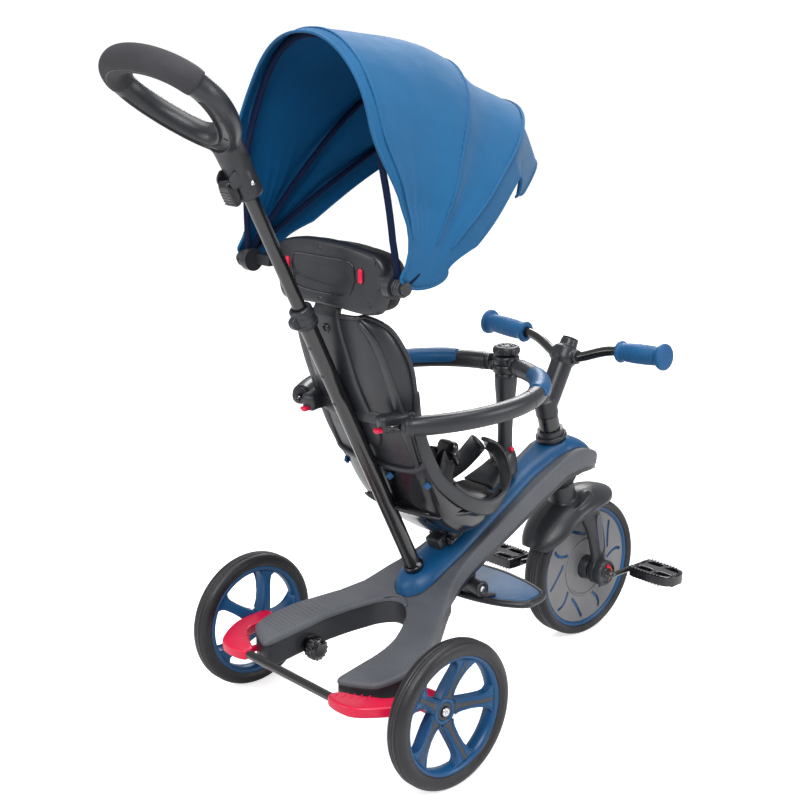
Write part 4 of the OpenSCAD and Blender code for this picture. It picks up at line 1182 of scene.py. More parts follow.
def footrest():
    half = FOOT_LOOP[1:-1]
    loop = [FOOT_LOOP[0]] + half + [FOOT_LOOP[-1]] + [(x, -y) for x, y in reversed(half)]
    smooth = spline(loop, 6, closed=True)
    inner = [(268 + (x - 268) * 0.93, y * 0.965) for x, y in smooth]
    parts = [sweep("rim", [vec(x, y, 142.5) for x, y in inner], (5.6, 5.2), SHELL, n=24, closed=True)]
    for side in (-1, 1):
        knuckle = [(4.9, -12), (10.6, -12), (11.6, -11), (11.6, 9), (12.2, 10.4), (11.4, 12), (4.9, 12)]
        parts.append(lathe("knuckle", (222, side * 38, 160), LEFT * side, knuckle, SHELL, n=48,
                           closed=True))
        foot = [vec(222, side * 36, 158), vec(227, side * 38, 150), vec(233, side * 42, 144),
                vec(243, side * 48, 142)]
        parts.append(sweep("foot", curve(foot, 5), lambda t: (11 + 5 * t, 9 - 4.5 * t), SHELL,
                           ref=(1, 0, 0.6), n=24,
                           power=2.5, round_ends=4))
    piece("footrest_rim", parts, "footrest", "shell_black", "footrest_frame")
    panel = [(268 + (x - 268) * 0.86, y * 0.925) for x, y in smooth]
    panels = plate("panel", [panel], 5, COVER, (0, 0, 144.5), FORWARD, LEFT, 1.2, 2)
    piece("footrest_panels", [panels], "footrest", "blue_plastic", "footrest_plates")
    pin = lathe("footrest_pin", (222, 0, 160), LEFT,
                [(0.1, -50.4), (4.2, -50.4), (4.8, -49.6), (4.8, 49.6), (4.2, 50.4), (0.1, 50.4)],
                STEEL, n=32)
    put(pin, "footrest", "steel")


footrest()


# ---------- seat ----------

# Stations of the shell from the top of the back to the front of the bowl: rear line, front edge, width / 2.
SHELL_STATIONS = [((-21, 592), (-8, 594), 58), ((-17, 572), (6, 586), 73), ((-9, 545), (22, 570), 82),
                  ((5, 500), (44, 530), 87),
                  ((28, 450), (52, 490), 88), ((44, 415), (54, 455), 88), ((60, 385), (66, 417), 88),
                  ((78, 350), (86, 378), 87),
                  ((95, 315), (104, 352), 86), ((112, 290), (126, 334), 84), ((135, 272), (146, 322), 80),
                  ((165, 256), (164, 314), 76),
                  ((190, 253), (186, 307), 71), ((215, 258), (210, 301), 65), ((240, 272), (236, 300), 57),
                  ((257, 290), (255, 303), 48)]


def shell_rows(stations, steps):
    return spline([(*back, *front, width) for back, front, width in stations], steps)


def shell_point(row, s, power=3.6, inset=0.0):
    """Point of the shell's outer face. s is -1 at the right front edge and 0 at the middle of the back."""
    bx, bz, fx, fz, w = row
    a = s * math.pi / 2
    y = (w - inset) * math.copysign(abs(math.sin(a)) ** (2 / power), a)
    d = abs(math.cos(a)) ** (2 / power)
    back, front = vec(bx, 0, bz), vec(fx, 0, fz)
    back = back + (front - back).normalized() * inset
    p = front + (back - front) * d
    return vec(p.x, y, p.z)


def seat_shell():
    rows = shell_rows(SHELL_STATIONS, 4)
    n = 48
    verts = [shell_point(r, -1 + 2 * i / n) for r in rows for i in range(n + 1)]
    skin_ob = make("seat_shell_body", verts, grid(len(rows), n + 1), SHELL)
    skin_ob.data.materials.append(GLOSS)
    for f in skin_ob.data.polygons:      # below the ridge the tub takes the gloss black: a glossier coat, and a darker base colour that is painted shade on the lower part
        x, z = (f.center.x - AXLE_X) / MM, f.center.z / MM
        f.material_index = int(z < 372 - 0.55 * (x - 64))
    modify(skin_ob, "SOLIDIFY", thickness=5.5 * MM, offset=-1.0, use_even_offset=True)
    bake(skin_ob)
    parts = [skin_ob]
    right = [shell_point(r, -1) for r in rows]
    across = [shell_point(rows[0], s) for s in np.linspace(-1, 1, 14)]
    left = [shell_point(r, 1) for r in rows]
    edge = right[::-1] + across[1:-1] + left
    parts.append(sweep("rim", edge, (3.4, 3.4), SHELL, ref=(0.8, 0, 0.6), n=12))
    ridge = [shell_point((65, 374, 74, 404, 88.5), s) for s in np.linspace(-0.97, 0.97, 41)]
    parts.append(sweep("ridge", [vec(p.x - 1.5, p.y, p.z) for p in ridge], (4.5, 3.6), SHELL,
                       ref=(1, 0, 0.5), n=16, power=2.6,
                       round_ends=2))
    for side in (-1, 1):      # outward flange along the arm openings, which shows as a lighter band
        band = [shell_point(r, side) for r in rows[16:46]]
        parts.append(sweep("band", [vec(p.x + 1, p.y + side * 2.0, p.z) for p in band],
                           taper([(0, 4), (0.15, 7.5), (0.85, 9), (1, 6)], 1.9), SHELL, ref=(0, 1, 0), n=16,
                           power=3,
                           round_ends=3))
        wing = [shell_point(r, side * 0.64) for r in rows[2:26]]
        parts.append(sweep("wing", [vec(p.x - 1.5, p.y, p.z) for p in wing],
                           lambda t: (10 * math.sin(math.pi * min(max(t, 0.06), 0.94)) ** 0.5, 3.0), SHELL,
                           ref=(1, 0, 0.4), n=16,
                           power=2.4, round_ends=3))
    piece("seat_shell_outer", parts, "seat", "shell_black", "seat_shell")

    spine_rows = [vec(r[0] - 0.5, 0, r[1]) for r in rows[0:22]]
    plate_path = [vec(-14.5, 0, 612), vec(-17, 0, 602)] + spine_rows
    spine_plate = sweep("back_plate", plate_path,
                        taper([(0, 22), (0.1, 26), (0.35, 27), (0.7, 33), (0.93, 36), (1, 24)],
                              [(0, 4.5), (0.3, 4.0), (1, 3.2)]), SHELL, ref=(1, 0, 0.3), n=32, power=5,
                        round_ends=2)
    details = [spine_plate]
    for z, x in ((574, -19.5), (470, 16)):
        details.append(lathe("screw", (x + 1, 0, z), vec(-1, 0, -0.35),
                             [(0.1, 3.6), (3.9, 3.6), (4.3, 3.0), (4.8, 3.0), (4.8, 5.2), (5.6, 5.4),
                             (6.4, 5.0), (6.6, 3.8), (6.6, 0)], GLOSS, n=32))
    for y in (-14, 14):       # slots for the harness
        details.append(sweep("slot_frame",
                             [vec(-4 + 0.33 * (560 - z) - 4.6, y, z) for z in (552, 546, 538, 530, 524)],
                             (4.2, 1.4), GLOSS,
                             ref=(1, 0, 0.3), n=16, power=3, round_ends=1))
    piece("seat_back_plate", details, "seat", "shell_black")

    belt = []
    for s in np.linspace(-0.93, 0.93, 29):
        p = shell_point((24, 452, 56, 460, 89), s, 3.0)
        belt.append(vec(p.x + 1, p.y, p.z))
    parts = [sweep("belt", belt, (4.2, 9.5), SHELL, n=24, power=3.2, round_ends=3)]
    for side in (-1, 1):
        block = [vec(4, side * 73, 454), vec(8, side * 74, 454.5), vec(20, side * 78, 455),
                 vec(34, side * 80, 455),
                 vec(38, side * 79, 455)]
        parts.append(sweep("latch", curve(block, 4),
                           taper([(0, 9), (0.2, 11), (0.9, 11.5), (1, 10.5)],
                                 [(0, 9.5), (0.2, 12), (0.9, 13.5), (1, 12.5)]), SHELL, n=32, power=3.2,
                           round_ends=2))
    piece("seat_belt_block", parts, "seat", "shell_black")
    for side, name in ((1, "left"), (-1, "right")):
        tab = [sweep("tab", [vec(0.5, side * 70, 447), vec(0.5, side * 74, 446.6),
                             vec(0.5, side * 79, 447)], (5.0, 2.6), RED,
                     ref=(0, 0, 1), n=20, power=3, round_ends=1.5),
               sweep("tab", [vec(5, side * 74, 447), vec(-3, side * 74, 446)], (4.2, 3.0), RED,
                     ref=(0, 0, 1), n=20, power=3,
                     round_ends=1.2)]
        piece("ring_release_" + name, tab, "side_button_" + name, "red_plastic", "side_button_" + name)

    bowl = []
    for z, cx, a, b in ((304, 166, 74, 79), (303, 166, 77, 82), (300, 166, 77.5, 82.5),
                        (297.5, 166.5, 75.5, 80.5), (294, 168, 69, 76), (286, 171, 62, 71),
                        (276, 176, 54, 63), (266, 181, 45, 53), (257, 185, 34, 41), (252, 187, 24, 29),
                        (249.5, 188, 12, 15),
                        (249, 188, 2, 2)):
        bowl.append([vec(cx + u, v, z - 0.06 * u * (z - 249) / 55) for u, v in superellipse(72, a, b, 2.7)])
    parts = [skin("bowl", bowl, GLOSS)]
    ledge = [vec(96 + 0.004 * y * y, y, 306 - 0.0008 * y * y) for y in np.linspace(-70, 70, 15)]
    parts.append(sweep("ledge", ledge, (11, 2.2), SHELL, n=16, power=3, round_ends=3, ref=(0, 0, 1)))
    for side in (-1, 1):
        for x, y, z in ((68, 20, 360), (81, 80, 357)):
            pin = lathe("pin", (x, side * y, z), vec(-0.4, side, -0.2),
                        [(0.1, 0), (5.5, 0), (6, 0.8), (6, 4), (5.2, 4.8), (0.1, 4.8)], COVER, n=4)
            put(soften(pin, 0.8), "seat", "blue_plastic")
            pin.name = "seat_plug_%s_%d" % ("left" if side > 0 else "right", x)
    piece("seat_bowl", parts, "seat", "shell_black")


seat_shell()


def thigh_loops():
    parts = []
    for side in (-1, 1):
        path = [(53, 89, 440), (71, 89.5, 400), (93, 89.5, 364), (127, 89, 334), (158, 88, 314),
                (190, 84, 301), (222, 75, 297),
                (250, 62, 303), (269, 47, 319), (277, 32, 339), (276, 19, 353), (269, 8, 360)]
        pts = [vec(x, y * side, z) for x, y, z in spline(path, 6)]
        width = taper([(0, 5), (0.1, 9), (0.35, 10), (0.5, 12), (0.65, 14), (0.8, 15), (0.93, 15), (1, 12)],
                      3.0)

        def outward(t):
            return vec(lookup(t, [(0, 0), (0.45, 0.1), (0.7, 1.0), (1, 0.9)]),
                       side * lookup(t, [(0, 1), (0.45, 0.9), (0.7, 0.25), (1, 0.05)]),
                           lookup(t, [(0, 0), (0.45, -0.2), (0.7, -0.2), (1, 0.4)]))
        rings = []
        for i, p in enumerate(pts):
            tangent = (pts[min(i + 1, len(pts) - 1)] - pts[max(i - 1, 0)]).normalized()
            t = i / (len(pts) - 1)
            out = outward(t)
            out = (out - tangent * out.dot(tangent)).normalized()
            across = tangent.cross(out).normalized()
            a, b = width(t)
            rings.append([p + across * u + out * v for u, v in superellipse(24, a, b, 3.0)])
        parts.append(skin("loop", rings, SHELL))
    pommel = []
    for z, cx, a, b in ((302, 309, 14, 14), (303.5, 309, 20, 19), (308, 310, 22.5, 21), (322, 312, 21, 19),
                        (332, 315, 17, 16.5),
                        (338, 316, 14.5, 14.5), (341, 316, 12, 12)):
        pommel.append([vec(cx + u, v, z) for u, v in superellipse(48, a, b, 2.6)])
    parts.append(skin("pommel", pommel, SHELL))
    bridge = curve([(262, 0, 300), (276, 0, 306), (292, 0, 313), (304, 0, 320)], 5)
    parts.append(sweep("bridge", bridge, lambda t: (30 - 10 * t, 6 + 3 * t), SHELL, n=28, power=3.2,
                       round_ends=3))
    shield = curve([(276, 0, 364), (286, 0, 358), (296, 0, 345), (304, 0, 330), (309, 0, 318)], 5)
    parts.append(sweep("shield", shield, taper([(0, 10), (0.4, 19), (1, 19)], 3.4), SHELL,
                       ref=(0.6, 0, 0.8), n=28, power=3,
                       round_ends=2))
    piece("thigh_loops", parts, "seat", "shell_black", "thigh_guards")

    post = lathe("post", (316, 0, 0), UP,
                 [(0.1, 334), (12.6, 334), (13.4, 336), (12.2, 342), (11.0, 352), (11.0, 372), (12.2, 396),
                  (14.4, 420),
                 (16.2, 440), (16.6, 450), (16.6, 457.4), (15.6, 458.4), (12, 458.4), (12, 485.6),
                                           (17.6, 485.6), (19, 487), (19.3, 493),
                 (18.4, 496.6), (15.6, 498.2), (14.6, 497.2), (0.1, 497.2)], SHELL, n=64)
    parts = [post]
    for k in range(6):
        p = polar(9.4, 60 * k)
        parts.append(lathe("petal", (316 + p[0], p[1], 497), UP, stud(3.0, 0, 0.8, 2.4, 1.4), GLOSS, n=20))
    for k in range(16):
        p = polar(19.2, 22.5 * k)
        parts.append(sweep("rib", [vec(316 + p[0], p[1], 488), vec(316 + p[0], p[1], 495)], 0.8, SHELL, n=8,
                           ref=(1, 0, 0)))
    piece("ring_post_body", parts, "seat", "shell_black", "ring_post")
    button = lathe("post_release", (316, 0, 344), -LEFT,
                   [(0.1, 8), (3.6, 8), (3.6, 15.6), (2.8, 16.8), (0.1, 17)], RED, n=24)
    put(button, "post_button", "red_plastic", "post_button")


thigh_loops()

RING_Z, RING_X, RING_TILT = 471.0, 316.0, math.radians(3)
FRONT_ARC, REAR_ARC, RING_BACK = 157.0, 215.0, 160.0


def ring_point(a, r_extra=0.0, up=0.0):
    """Point of the ring: a is 0 at the post, 90 where the two arcs meet, more behind that."""
    if a <= 90:
        u, v = polar(FRONT_ARC + r_extra, a)
        x, y = u - RING_BACK, v
    else:
        u, v = polar(REAR_ARC + r_extra, a)
        x, y = u - RING_BACK, v + FRONT_ARC - REAR_ARC
    return vec(RING_X + x * math.cos(RING_TILT) - up * math.sin(RING_TILT), y,
                   RING_Z + x * math.sin(RING_TILT) + up * math.cos(RING_TILT))


def safety_ring():
    for side, name, low in ((1, "left", 458.7), (-1, "right", 471.3)):
        def p(a, **kw):
            q = ring_point(a, **kw)
            return vec(q.x, q.y * side, q.z)
        angles = list(np.arange(9, 90, 3)) + list(np.arange(90, 132.1, 2.5))
        bar = sweep("bar", [p(a) for a in angles],
                    taper([(0, 11.4), (0.03, 12.2), (0.97, 12.2), (1, 11.4)],
                          [(0, 12), (0.03, 12.9), (0.95, 12.9), (1, 12)]), SHELL, n=40, power=2.35,
                    round_ends=1.2)
        parts = [bar]
        for a in (14, 74, 128):       # joints between the moulded halves
            d = (p(a + 1) - p(a - 1)).normalized()
            u, v, w = axes_of(d)
            parts.append(skin("joint", [[p(a) + d * s + u * e + v * f for e,
                                         f in superellipse(40, r, r + 0.7, 2.35)]
                                        for s,
                                        r in ((-0.9, 11.9), (-0.5, 12.45), (0.5, 12.45), (0.9, 11.9))],
                              SHELL, caps=False))
        knuckle = lathe("knuckle", (RING_X, 0, low), UP,
                        [(12.1, 0), (18.2, 0), (19.2, 0.8), (19.2, 11.2), (18.2, 12), (12.1, 12)], SHELL,
                        n=64,
                        closed=True)
        neck = [vec(RING_X - 4, side * 14, low + 6), vec(RING_X - 5, side * 20, low + 6), p(9)]
        parts += [knuckle, sweep("neck", neck, (10, 5.8), SHELL, n=24, power=3)]
        end = p(132)
        d = (p(132) - p(131)).normalized()
        parts.append(lathe("peg", end, d, stud(4.5, -2, 13, 3.6, 14.6), GLOSS, n=24))
        piece("ring_bar_" + name, parts, "ring_" + name, "shell_black", "ring_" + name)
        rings = []
        for a in np.arange(29, 63.1, 2):
            t = (a - 29) / 34
            grow = 0.35 + 0.65 * min(1, 6 * t, 6 * (1 - t)) ** 0.5
            d = (p(a + 1) - p(a - 1)).normalized()
            w = d.cross(UP).normalized()
            h = w.cross(d).normalized()
            spread = math.radians(104) * (0.8 + 0.2 * grow)
            outer = [p(a) + w * math.cos(b) * (12.4 + 2.6 * grow) + h * math.sin(b) * (13 + 2.6 * grow)
                     for b in np.linspace(math.pi / 2 - spread, math.pi / 2 + spread, 21)]
            inner = [p(a) + w * math.cos(b) * 12.0 + h * math.sin(b) * 12.6
                     for b in np.linspace(math.pi / 2 + spread, math.pi / 2 - spread, 21)]
            rings.append(outer + inner)
        put(skin("ring_shoe_" + name, rings, COVER), "ring_" + name, "blue_plastic", "ring_pad_" + name)


safety_ring()

HEAD_LOOP = [(0, 688), (35, 687), (60, 684), (85, 679), (98, 673), (106, 662), (107.5, 650), (106, 636),
             (101, 616), (96, 606), (88, 601),
             (70, 600), (35, 603), (0, 604)]


def head_loop(shrink, n=6):
    half = HEAD_LOOP[1:-1]
    loop = [HEAD_LOOP[0]] + half + [HEAD_LOOP[-1]] + [(-y, z) for y, z in reversed(half)]
    pts = spline(loop, n, closed=True)
    c = np.array([0.0, 645.0])
    scale = np.array([1 - shrink / 107.0, 1 - shrink / 44.0])
    return (pts - c) * scale + c


def head_x(y):
    """The headrest wraps forward at its sides."""
    return 14 * (y / 107.0) ** 2


def headrest():
    rings = []
    for x, shrink in ((-31.0, 30), (-31.6, 12), (-31.8, 5.5), (-31.2, 3.2), (-29.4, 1.4), (-26, 0.3),
                      (-21, 0.0), (-17, 0.2), (-15, 1.8), (-15, 12)):
        rings.append([vec(x + head_x(y), y, z) for y, z in head_loop(shrink)])
    parts = [skin("headrest_rear", rings, SHELL)]

    def face(y, z, lift=0.2):
        return vec(-31.7 + head_x(y) - lift, y, z)
    border = [face(y, z, 0.0) for y, z in chaikin([(-52, 667), (52, 667), (60, 661), (62, 650), (57, 629),
                                                   (49, 621), (-49, 621), (-57, 629), (-62, 650),
                                                   (-60, 661)], 2)]
    parts.append(sweep("border", border, (1.2, 0.8), GLOSS, ref=(1, 0, 0), n=8, closed=True))
    for y, z in ((-92, 668), (92, 668), (0, 677), (-84, 613), (84, 613), (0, 612)):
        parts.append(lathe("screw", face(y, z, -1.2), vec(-1, 0, 0),
                           [(0.1, 0.6), (2.4, 0.6), (2.6, 1.5), (3.6, 1.5), (4.0, 0.9), (4.0, 0)], GLOSS,
                           n=20))
    piece("headrest_back", parts, "seat", "shell_black", "headrest_shell")
    ovals = []
    for s in (-1, 1):
        y = s * 72
        ovals.append(sweep("oval", [face(y, z, 0.4) for z in (643, 649, 655)], (4.0, 2.0), RED,
                           ref=(1, 0, 0), n=20, round_ends=3.6))
    piece("headrest_tabs", ovals, "headrest_buttons", "red_plastic", "headrest_buttons")


headrest()
repaint(SHELL, "canopy_brackets")


def seat_slide():
    slope = math.radians(25.5)
    d = vec(math.cos(slope), 0, math.sin(slope))
    n = vec(-math.sin(slope), 0, math.cos(slope))
    c = vec(204, 0, 237)
    base = [sweep("saddle", [c + d * s + n * 8 for s in (-34, -30, -10, 15, 32, 36)], (13.6, 10.5), SHELL,
                  ref=n, n=32, power=4, round_ends=2)]
    for s in (-22, -8, 6, 20):
        for side in (-1, 1):
            base.append(sweep("rib", [c + d * s + LEFT * side * 13.6,
                                      c + d * s + n * 17 + LEFT * side * 14.2], (1.6, 1.2), SHELL, n=8,
                              ref=(0, 1, 0)))
    base.append(sweep("column", [vec(196, 0, 240), vec(194, 0, 256)], lambda t: (26 - 4 * t, 13), SHELL,
                      n=32, power=3.5, ref=(1, 0, 0)))
    piece("seat_saddle", base, "seat", "shell_black", "seat_base")
    p = vec(186, -20, 231)
    arm = [p + n * 3.4 + d * s for s in (-3, 6, 20, 40, 50)]
    lever = [sweep("arm", arm, taper([(0, 5.5), (0.5, 4.5), (1, 6)], 2.6), GLOSS, ref=n, n=20, power=3,
                   round_ends=2),
             lathe("pivot", p, n, [(0.1, 0), (4.6, 0), (5, 0.6), (5, 6.4), (3, 7), (3, 13), (0.1, 13)],
                   GLOSS, n=32)]
    for k in range(7):
        q = p + n * 6.2 + d * (14 + k * 5)
        lever.append(sweep("rib", [q - LEFT * 4, q + LEFT * 4], (1.1, 0.8), GLOSS, n=8, ref=n))
    lever.append(lathe("end", p + d * 51 + n * 3.4, d, stud(2.6, -1, 2.2, 2, 3), STEEL, n=20))
    piece("slide_lever", lever, "seat_lever", "grey_plastic", "seat_lever")


seat_slide()


# ---------- canopy ----------

PIVOT_X, PIVOT_Z = -33.0, 646.0
# Lean, half width and height of the cloth's lines from the rear hem to the front bow.
CLOTH_LINES = [(-4.0, 155.5, 296), (-0.6, 156.5, 299), (12, 153.5, 301), (25, 154.5, 309),
               (38.4, 160.5, 321.5), (47.5, 158, 341),
               (57.3, 164, 376)]
REAR_SEAM, MIDDLE_SEAM, FRONT_SEAM = 1 / 6, 4 / 6, 1.0      # where the cloth crosses the three bows
REAR_LEAN, MIDDLE_LEAN, FRONT_LEAN = -0.6, 38.4, 57.3       # degrees forward of upright
# Name, body, lean, half width and height of each bow.
BOWS = (("rear", "seat", REAR_LEAN, 148.5, 293), ("middle", "canopy_middle", MIDDLE_LEAN, 153, 315.5),
        ("front", "canopy_front", FRONT_LEAN, 157.5, 371.7))
BOW_POWER = 2.23
CORNER = vec(-1, 0, 658)     # where the cloth's lines meet beside each pivot
CORNER_T = 15.0                   # angle along the bow where the rounded corner begins


def bow(a, b, t):
    c, s = math.cos(t), math.sin(t)
    return a * math.copysign(abs(c) ** (2 / BOW_POWER), c), b * max(s, 0.0) ** (2 / BOW_POWER)


CLOTH_ROWS = spline(np.array(CLOTH_LINES), 12)


def cloth_line(v):
    """v is 0 at the rear hem and 1 at the front bow."""
    x = v * (len(CLOTH_ROWS) - 1)
    i = min(int(x), len(CLOTH_ROWS) - 2)
    return CLOTH_ROWS[i] * (1 - (x - i)) + CLOTH_ROWS[i + 1] * (x - i)


def smooth_step(e0, e1, x):
    t = min(max((x - e0) / (e1 - e0), 0.0), 1.0)
    return t * t * (3 - 2 * t)


def cloth_point(v, t, out=0.0):
    """Point of the canopy: t runs round the bow from the left pivot to the right, in degrees."""
    side = min(t, 180 - t)
    if side < CORNER_T:       # rounded corner below the meeting point of the lines
        above = cloth_point(v, CORNER_T if t < 90 else 180 - CORNER_T, out)
        k = side / CORNER_T
        phi = math.radians(172 + 98 * v)
        end = CORNER + vec(38 * math.cos(phi), 0, 15 * math.sin(phi))
        end.y = math.copysign(161 + out * 0.5, above.y)
        mid = CORNER + (above - CORNER) * 0.42
        mid.y = math.copysign(162.5 + out * 0.5, above.y)
        return end * (1 - k) ** 2 + mid * 2 * k * (1 - k) + above * k * k
    ta = math.radians(t)
    peak = 11 * math.exp(-((t - 90) / 17.0) ** 2)
    if v <= 1:
        lean, a, b = cloth_line(v)
        y, h = bow(a, b, ta)
        for near, far in ((0, REAR_SEAM), (REAR_SEAM, MIDDLE_SEAM), (MIDDLE_SEAM, FRONT_SEAM)):
            if near <= v <= far:      # drawn in a little between the bows
                u = (v - near) / (far - near)
                sag = math.sin(math.pi * u) * (3.0 + 5.0 * math.sin(ta) ** 2) * (far - near)
                sag *= 2.6 if v > MIDDLE_SEAM else 1.0
                y, h = y * (1 - sag / 260), h - sag
        h += peak * math.exp(-((v - 0.6) / 0.2) ** 2)
        ripple = 1.1 * math.sin(v * 34 + 0.05 * t) * math.exp(-(side - CORNER_T) / 20.0)
        y += math.copysign(ripple, y)
        lean -= 4.0 * max(0.0, 1 - v / 0.3) * math.exp(-((side - 27) / 15.0) ** 2)
        angle = math.radians(lean)
    else:
        u = v - 1
        lean, a, b = CLOTH_LINES[-1]
        y, h = bow(a, b, ta)
        flap = smooth_step(41, 53, side)
        reach = 30 * (1 - flap) + (98 - 20 * math.exp(-((side - 52) / 6.0) ** 2)) * flap
        drop = -38 * flap * (1 - smooth_step(54, 84, side)) + 22 * smooth_step(60, 90, side)
        angle = math.radians(lean) + reach * u / max(h, 70)
        h = h + drop * u
        y = y * (1 - 0.04 * u * flap)
    h += out
    p = vec(PIVOT_X + h * math.sin(angle), y + math.copysign(out * 0.5, y), PIVOT_Z + h * math.cos(angle))
    pull = 1 - smooth_step(CORNER_T, CORNER_T + 22, side)
    return p + vec(CORNER.x - PIVOT_X, 0, CORNER.z - PIVOT_Z) * pull * 0.45


def run_length(points):
    """Length in metres of a line through points in mm."""
    return sum((q - p).length for p, q in zip(points, points[1:])) * MM


def canopy():
    vs = list(np.linspace(0, 1, 61)) + list(np.linspace(1, 2, 19))[1:]
    half = list(np.arange(0, 36, 1.5)) + list(np.arange(36, 60, 0.75)) + list(np.arange(60, 90, 1.5))
    ts = half + [90] + [180 - t for t in reversed(half)]
    n = len(ts)
    verts = [cloth_point(v, t) for v in vs for t in ts]
    ob = make("canopy_cloth", verts, grid(len(vs), n), CLOTH)
    ob.data.materials.append(CLOTH_PAINTED_SHADE)
    # the cloth is creased a little where it is pulled towards the pivots
    tex = bpy.data.textures.new("creases", "CLOUDS")
    tex.noise_scale = 0.05
    d = modify(ob, "DISPLACE", texture=tex, strength=0.0022, mid_level=0.5)
    d.texture_coords = "LOCAL"
    # the solidified inside faces take the second slot, the darker cloth that is painted shade on the
    # canopy's inside
    modify(ob, "SOLIDIFY", thickness=1.1 * MM, offset=0.0, material_offset=1, use_rim=True)
    bake(ob)
    rows = [verts[k * n:(k + 1) * n] for k in range(len(vs))]
    width = run_length(rows[30])
    length = run_length([row[n // 2] for row in rows])
    # the lit cloth must face outward and the painted-shade cloth inward; swap the slots when the sheet came
    # out the other way round
    normals = sum((f.normal.dot(f.center - Vector(at((0, 0, 700)))) > 0) for f in ob.data.polygons
                  if f.material_index == 0)
    if normals < sum(1 for f in ob.data.polygons if f.material_index == 0) / 2:
        for f in ob.data.polygons:
            f.material_index = 1 - f.material_index if f.material_index < 2 else 0
    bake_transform(ob)
    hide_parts("canopy_fabric")
    trims = []
    hem = [cloth_point(0, t) for t in ts[::2]]
    trims.append(("canopy_hem_rear", sweep("hem", hem, (2.6, 1.9), CLOTH, n=12, round_ends=1)))
    for name, v, r in (("rear", REAR_SEAM, 1.5), ("middle", MIDDLE_SEAM, 1.3), ("front", FRONT_SEAM, 1.7)):
        line = [cloth_point(v, t, 0.8) for t in np.linspace(9, 171, 100)]
        trims.append(("canopy_piping_" + name,
                      sweep("piping", line, (r * 1.5, r * 0.8), CLOTH, n=10, round_ends=1)))
        stitch = []
        for off in (-0.012, 0.012):
            for k in range(60):
                t0 = 12 + k * 2.58
                p, q = cloth_point(v + off, t0, 0.55), cloth_point(v + off, t0 + 1.2, 0.55)
                stitch.append(sweep("stitch", [p, q], 0.32, CLOTH_PAINTED_SHADE, n=5))
        trims.append(("canopy_stitch_" + name, join("stitches", stitch)))
    edge = [cloth_point(2, t) for t in ts]
    trims.append(("canopy_hem_visor", sweep("hem", edge, (1.9, 1.6), CLOTH, n=10, round_ends=1)))
    for t0, name in ((0, "left"), (180, "right")):
        corner = [cloth_point(v, t0) for v in np.linspace(0, 2, 40)]
        trims.append(("canopy_hem_" + name,
                      sweep("hem", corner, (1.9, 1.6), CLOTH, ref=LEFT, n=10, round_ends=1)))
    for name, part in trims:
        part.name = name
        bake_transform(part)
    for name, body, lean, a, b in BOWS:      # bow in its sleeve under the cloth
        pts = []
        for t in np.linspace(0, math.pi, 61):
            y, h = bow(a, b, t)
            off = min(math.degrees(t), 180 - math.degrees(t))
            near_end = smooth_step(1, 9, off) * (1 - smooth_step(24, 46, off))
            y -= math.copysign(3.2 * near_end, y)
            if name == "rear":
                lean = REAR_LEAN - 3.0 * near_end
            pts.append(vec(PIVOT_X + h * math.sin(math.radians(lean)), y,
                           PIVOT_Z + h * math.cos(math.radians(lean))))
        sleeve = [sweep("sleeve", pts, (5.2, 2.9), SLEEVE,
                        ref=(math.cos(math.radians(lean)), 0, -math.sin(math.radians(lean))), n=16,
                        power=2.6)]
        for side in (-1, 1):
            sleeve.append(lathe("eye", (PIVOT_X, side * a, PIVOT_Z), LEFT,
                                [(4.15, -2.2), (10.4, -2.2), (11, -1.6), (11, 1.6), (10.4, 2.2),
                                 (4.15, 2.2)],
                                SHELL, n=40, closed=True))
        piece("canopy_bow_" + name, sleeve, body, "shell_black", "canopy_hoop_" + name)
    flat_w, flat_l = round(width, 2), round(length, 2)


canopy()


# ---------- pads and harness ----------

def inflate(ob, pressure, cap, voxel=5.0, frames=20):
    """Swells a closed mesh as a stuffed cover: cloth under pressure, its result applied and capped."""
    modify(ob, "REMESH", mode="VOXEL", voxel_size=voxel * MM)
    bake(ob)
    rest = np.zeros(len(ob.data.vertices) * 3)
    ob.data.vertices.foreach_get("co", rest)
    m = ob.modifiers.new("cloth", "CLOTH")
    s = m.settings
    s.use_pressure, s.uniform_pressure_force = True, pressure
    s.effector_weights.gravity = 0.0
    s.quality = 5
    s.mass = 0.25
    m.collision_settings.use_collision = False
    scene = bpy.context.scene
    for f in range(1, frames + 1):
        scene.frame_set(f)
    dg = bpy.context.evaluated_depsgraph_get()
    me = bpy.data.meshes.new_from_object(ob.evaluated_get(dg), depsgraph=dg)
    co = np.zeros(len(me.vertices) * 3)
    me.vertices.foreach_get("co", co)
    bpy.data.meshes.remove(me)
    ob.modifiers.clear()
    scene.frame_set(1)
    move = (co - rest).reshape(-1, 3)
    length = np.linalg.norm(move, axis=1)
    move *= np.minimum(1.0, cap * MM / np.maximum(length, 1e-9))[:, None]
    ob.data.vertices.foreach_set("co", (rest + move.ravel()))
    ob.data.update()
    modify(ob, "SMOOTH", factor=0.5, iterations=3)
    modify(ob, "SUBSURF", levels=1, render_levels=1)
    bake(ob)
    ob.data.shade_smooth()
    return ob


def quilt(ob, depth_at):
    """Presses sewn channels into a pad: depth_at gives the depth in mm at a point in mm."""
    me = ob.data
    me.update()
    normals = [v.normal.copy() for v in me.vertices]
    for v, nrm in zip(me.vertices, normals):
        x, y, z = (v.co.x - AXLE_X) / MM, v.co.y / MM, v.co.z / MM
        d = depth_at(x, y, z)
        if d:
            v.co -= nrm * d * MM
    me.update()


def groove(distance, width, depth):
    return depth * math.exp(-(distance / width) ** 2)


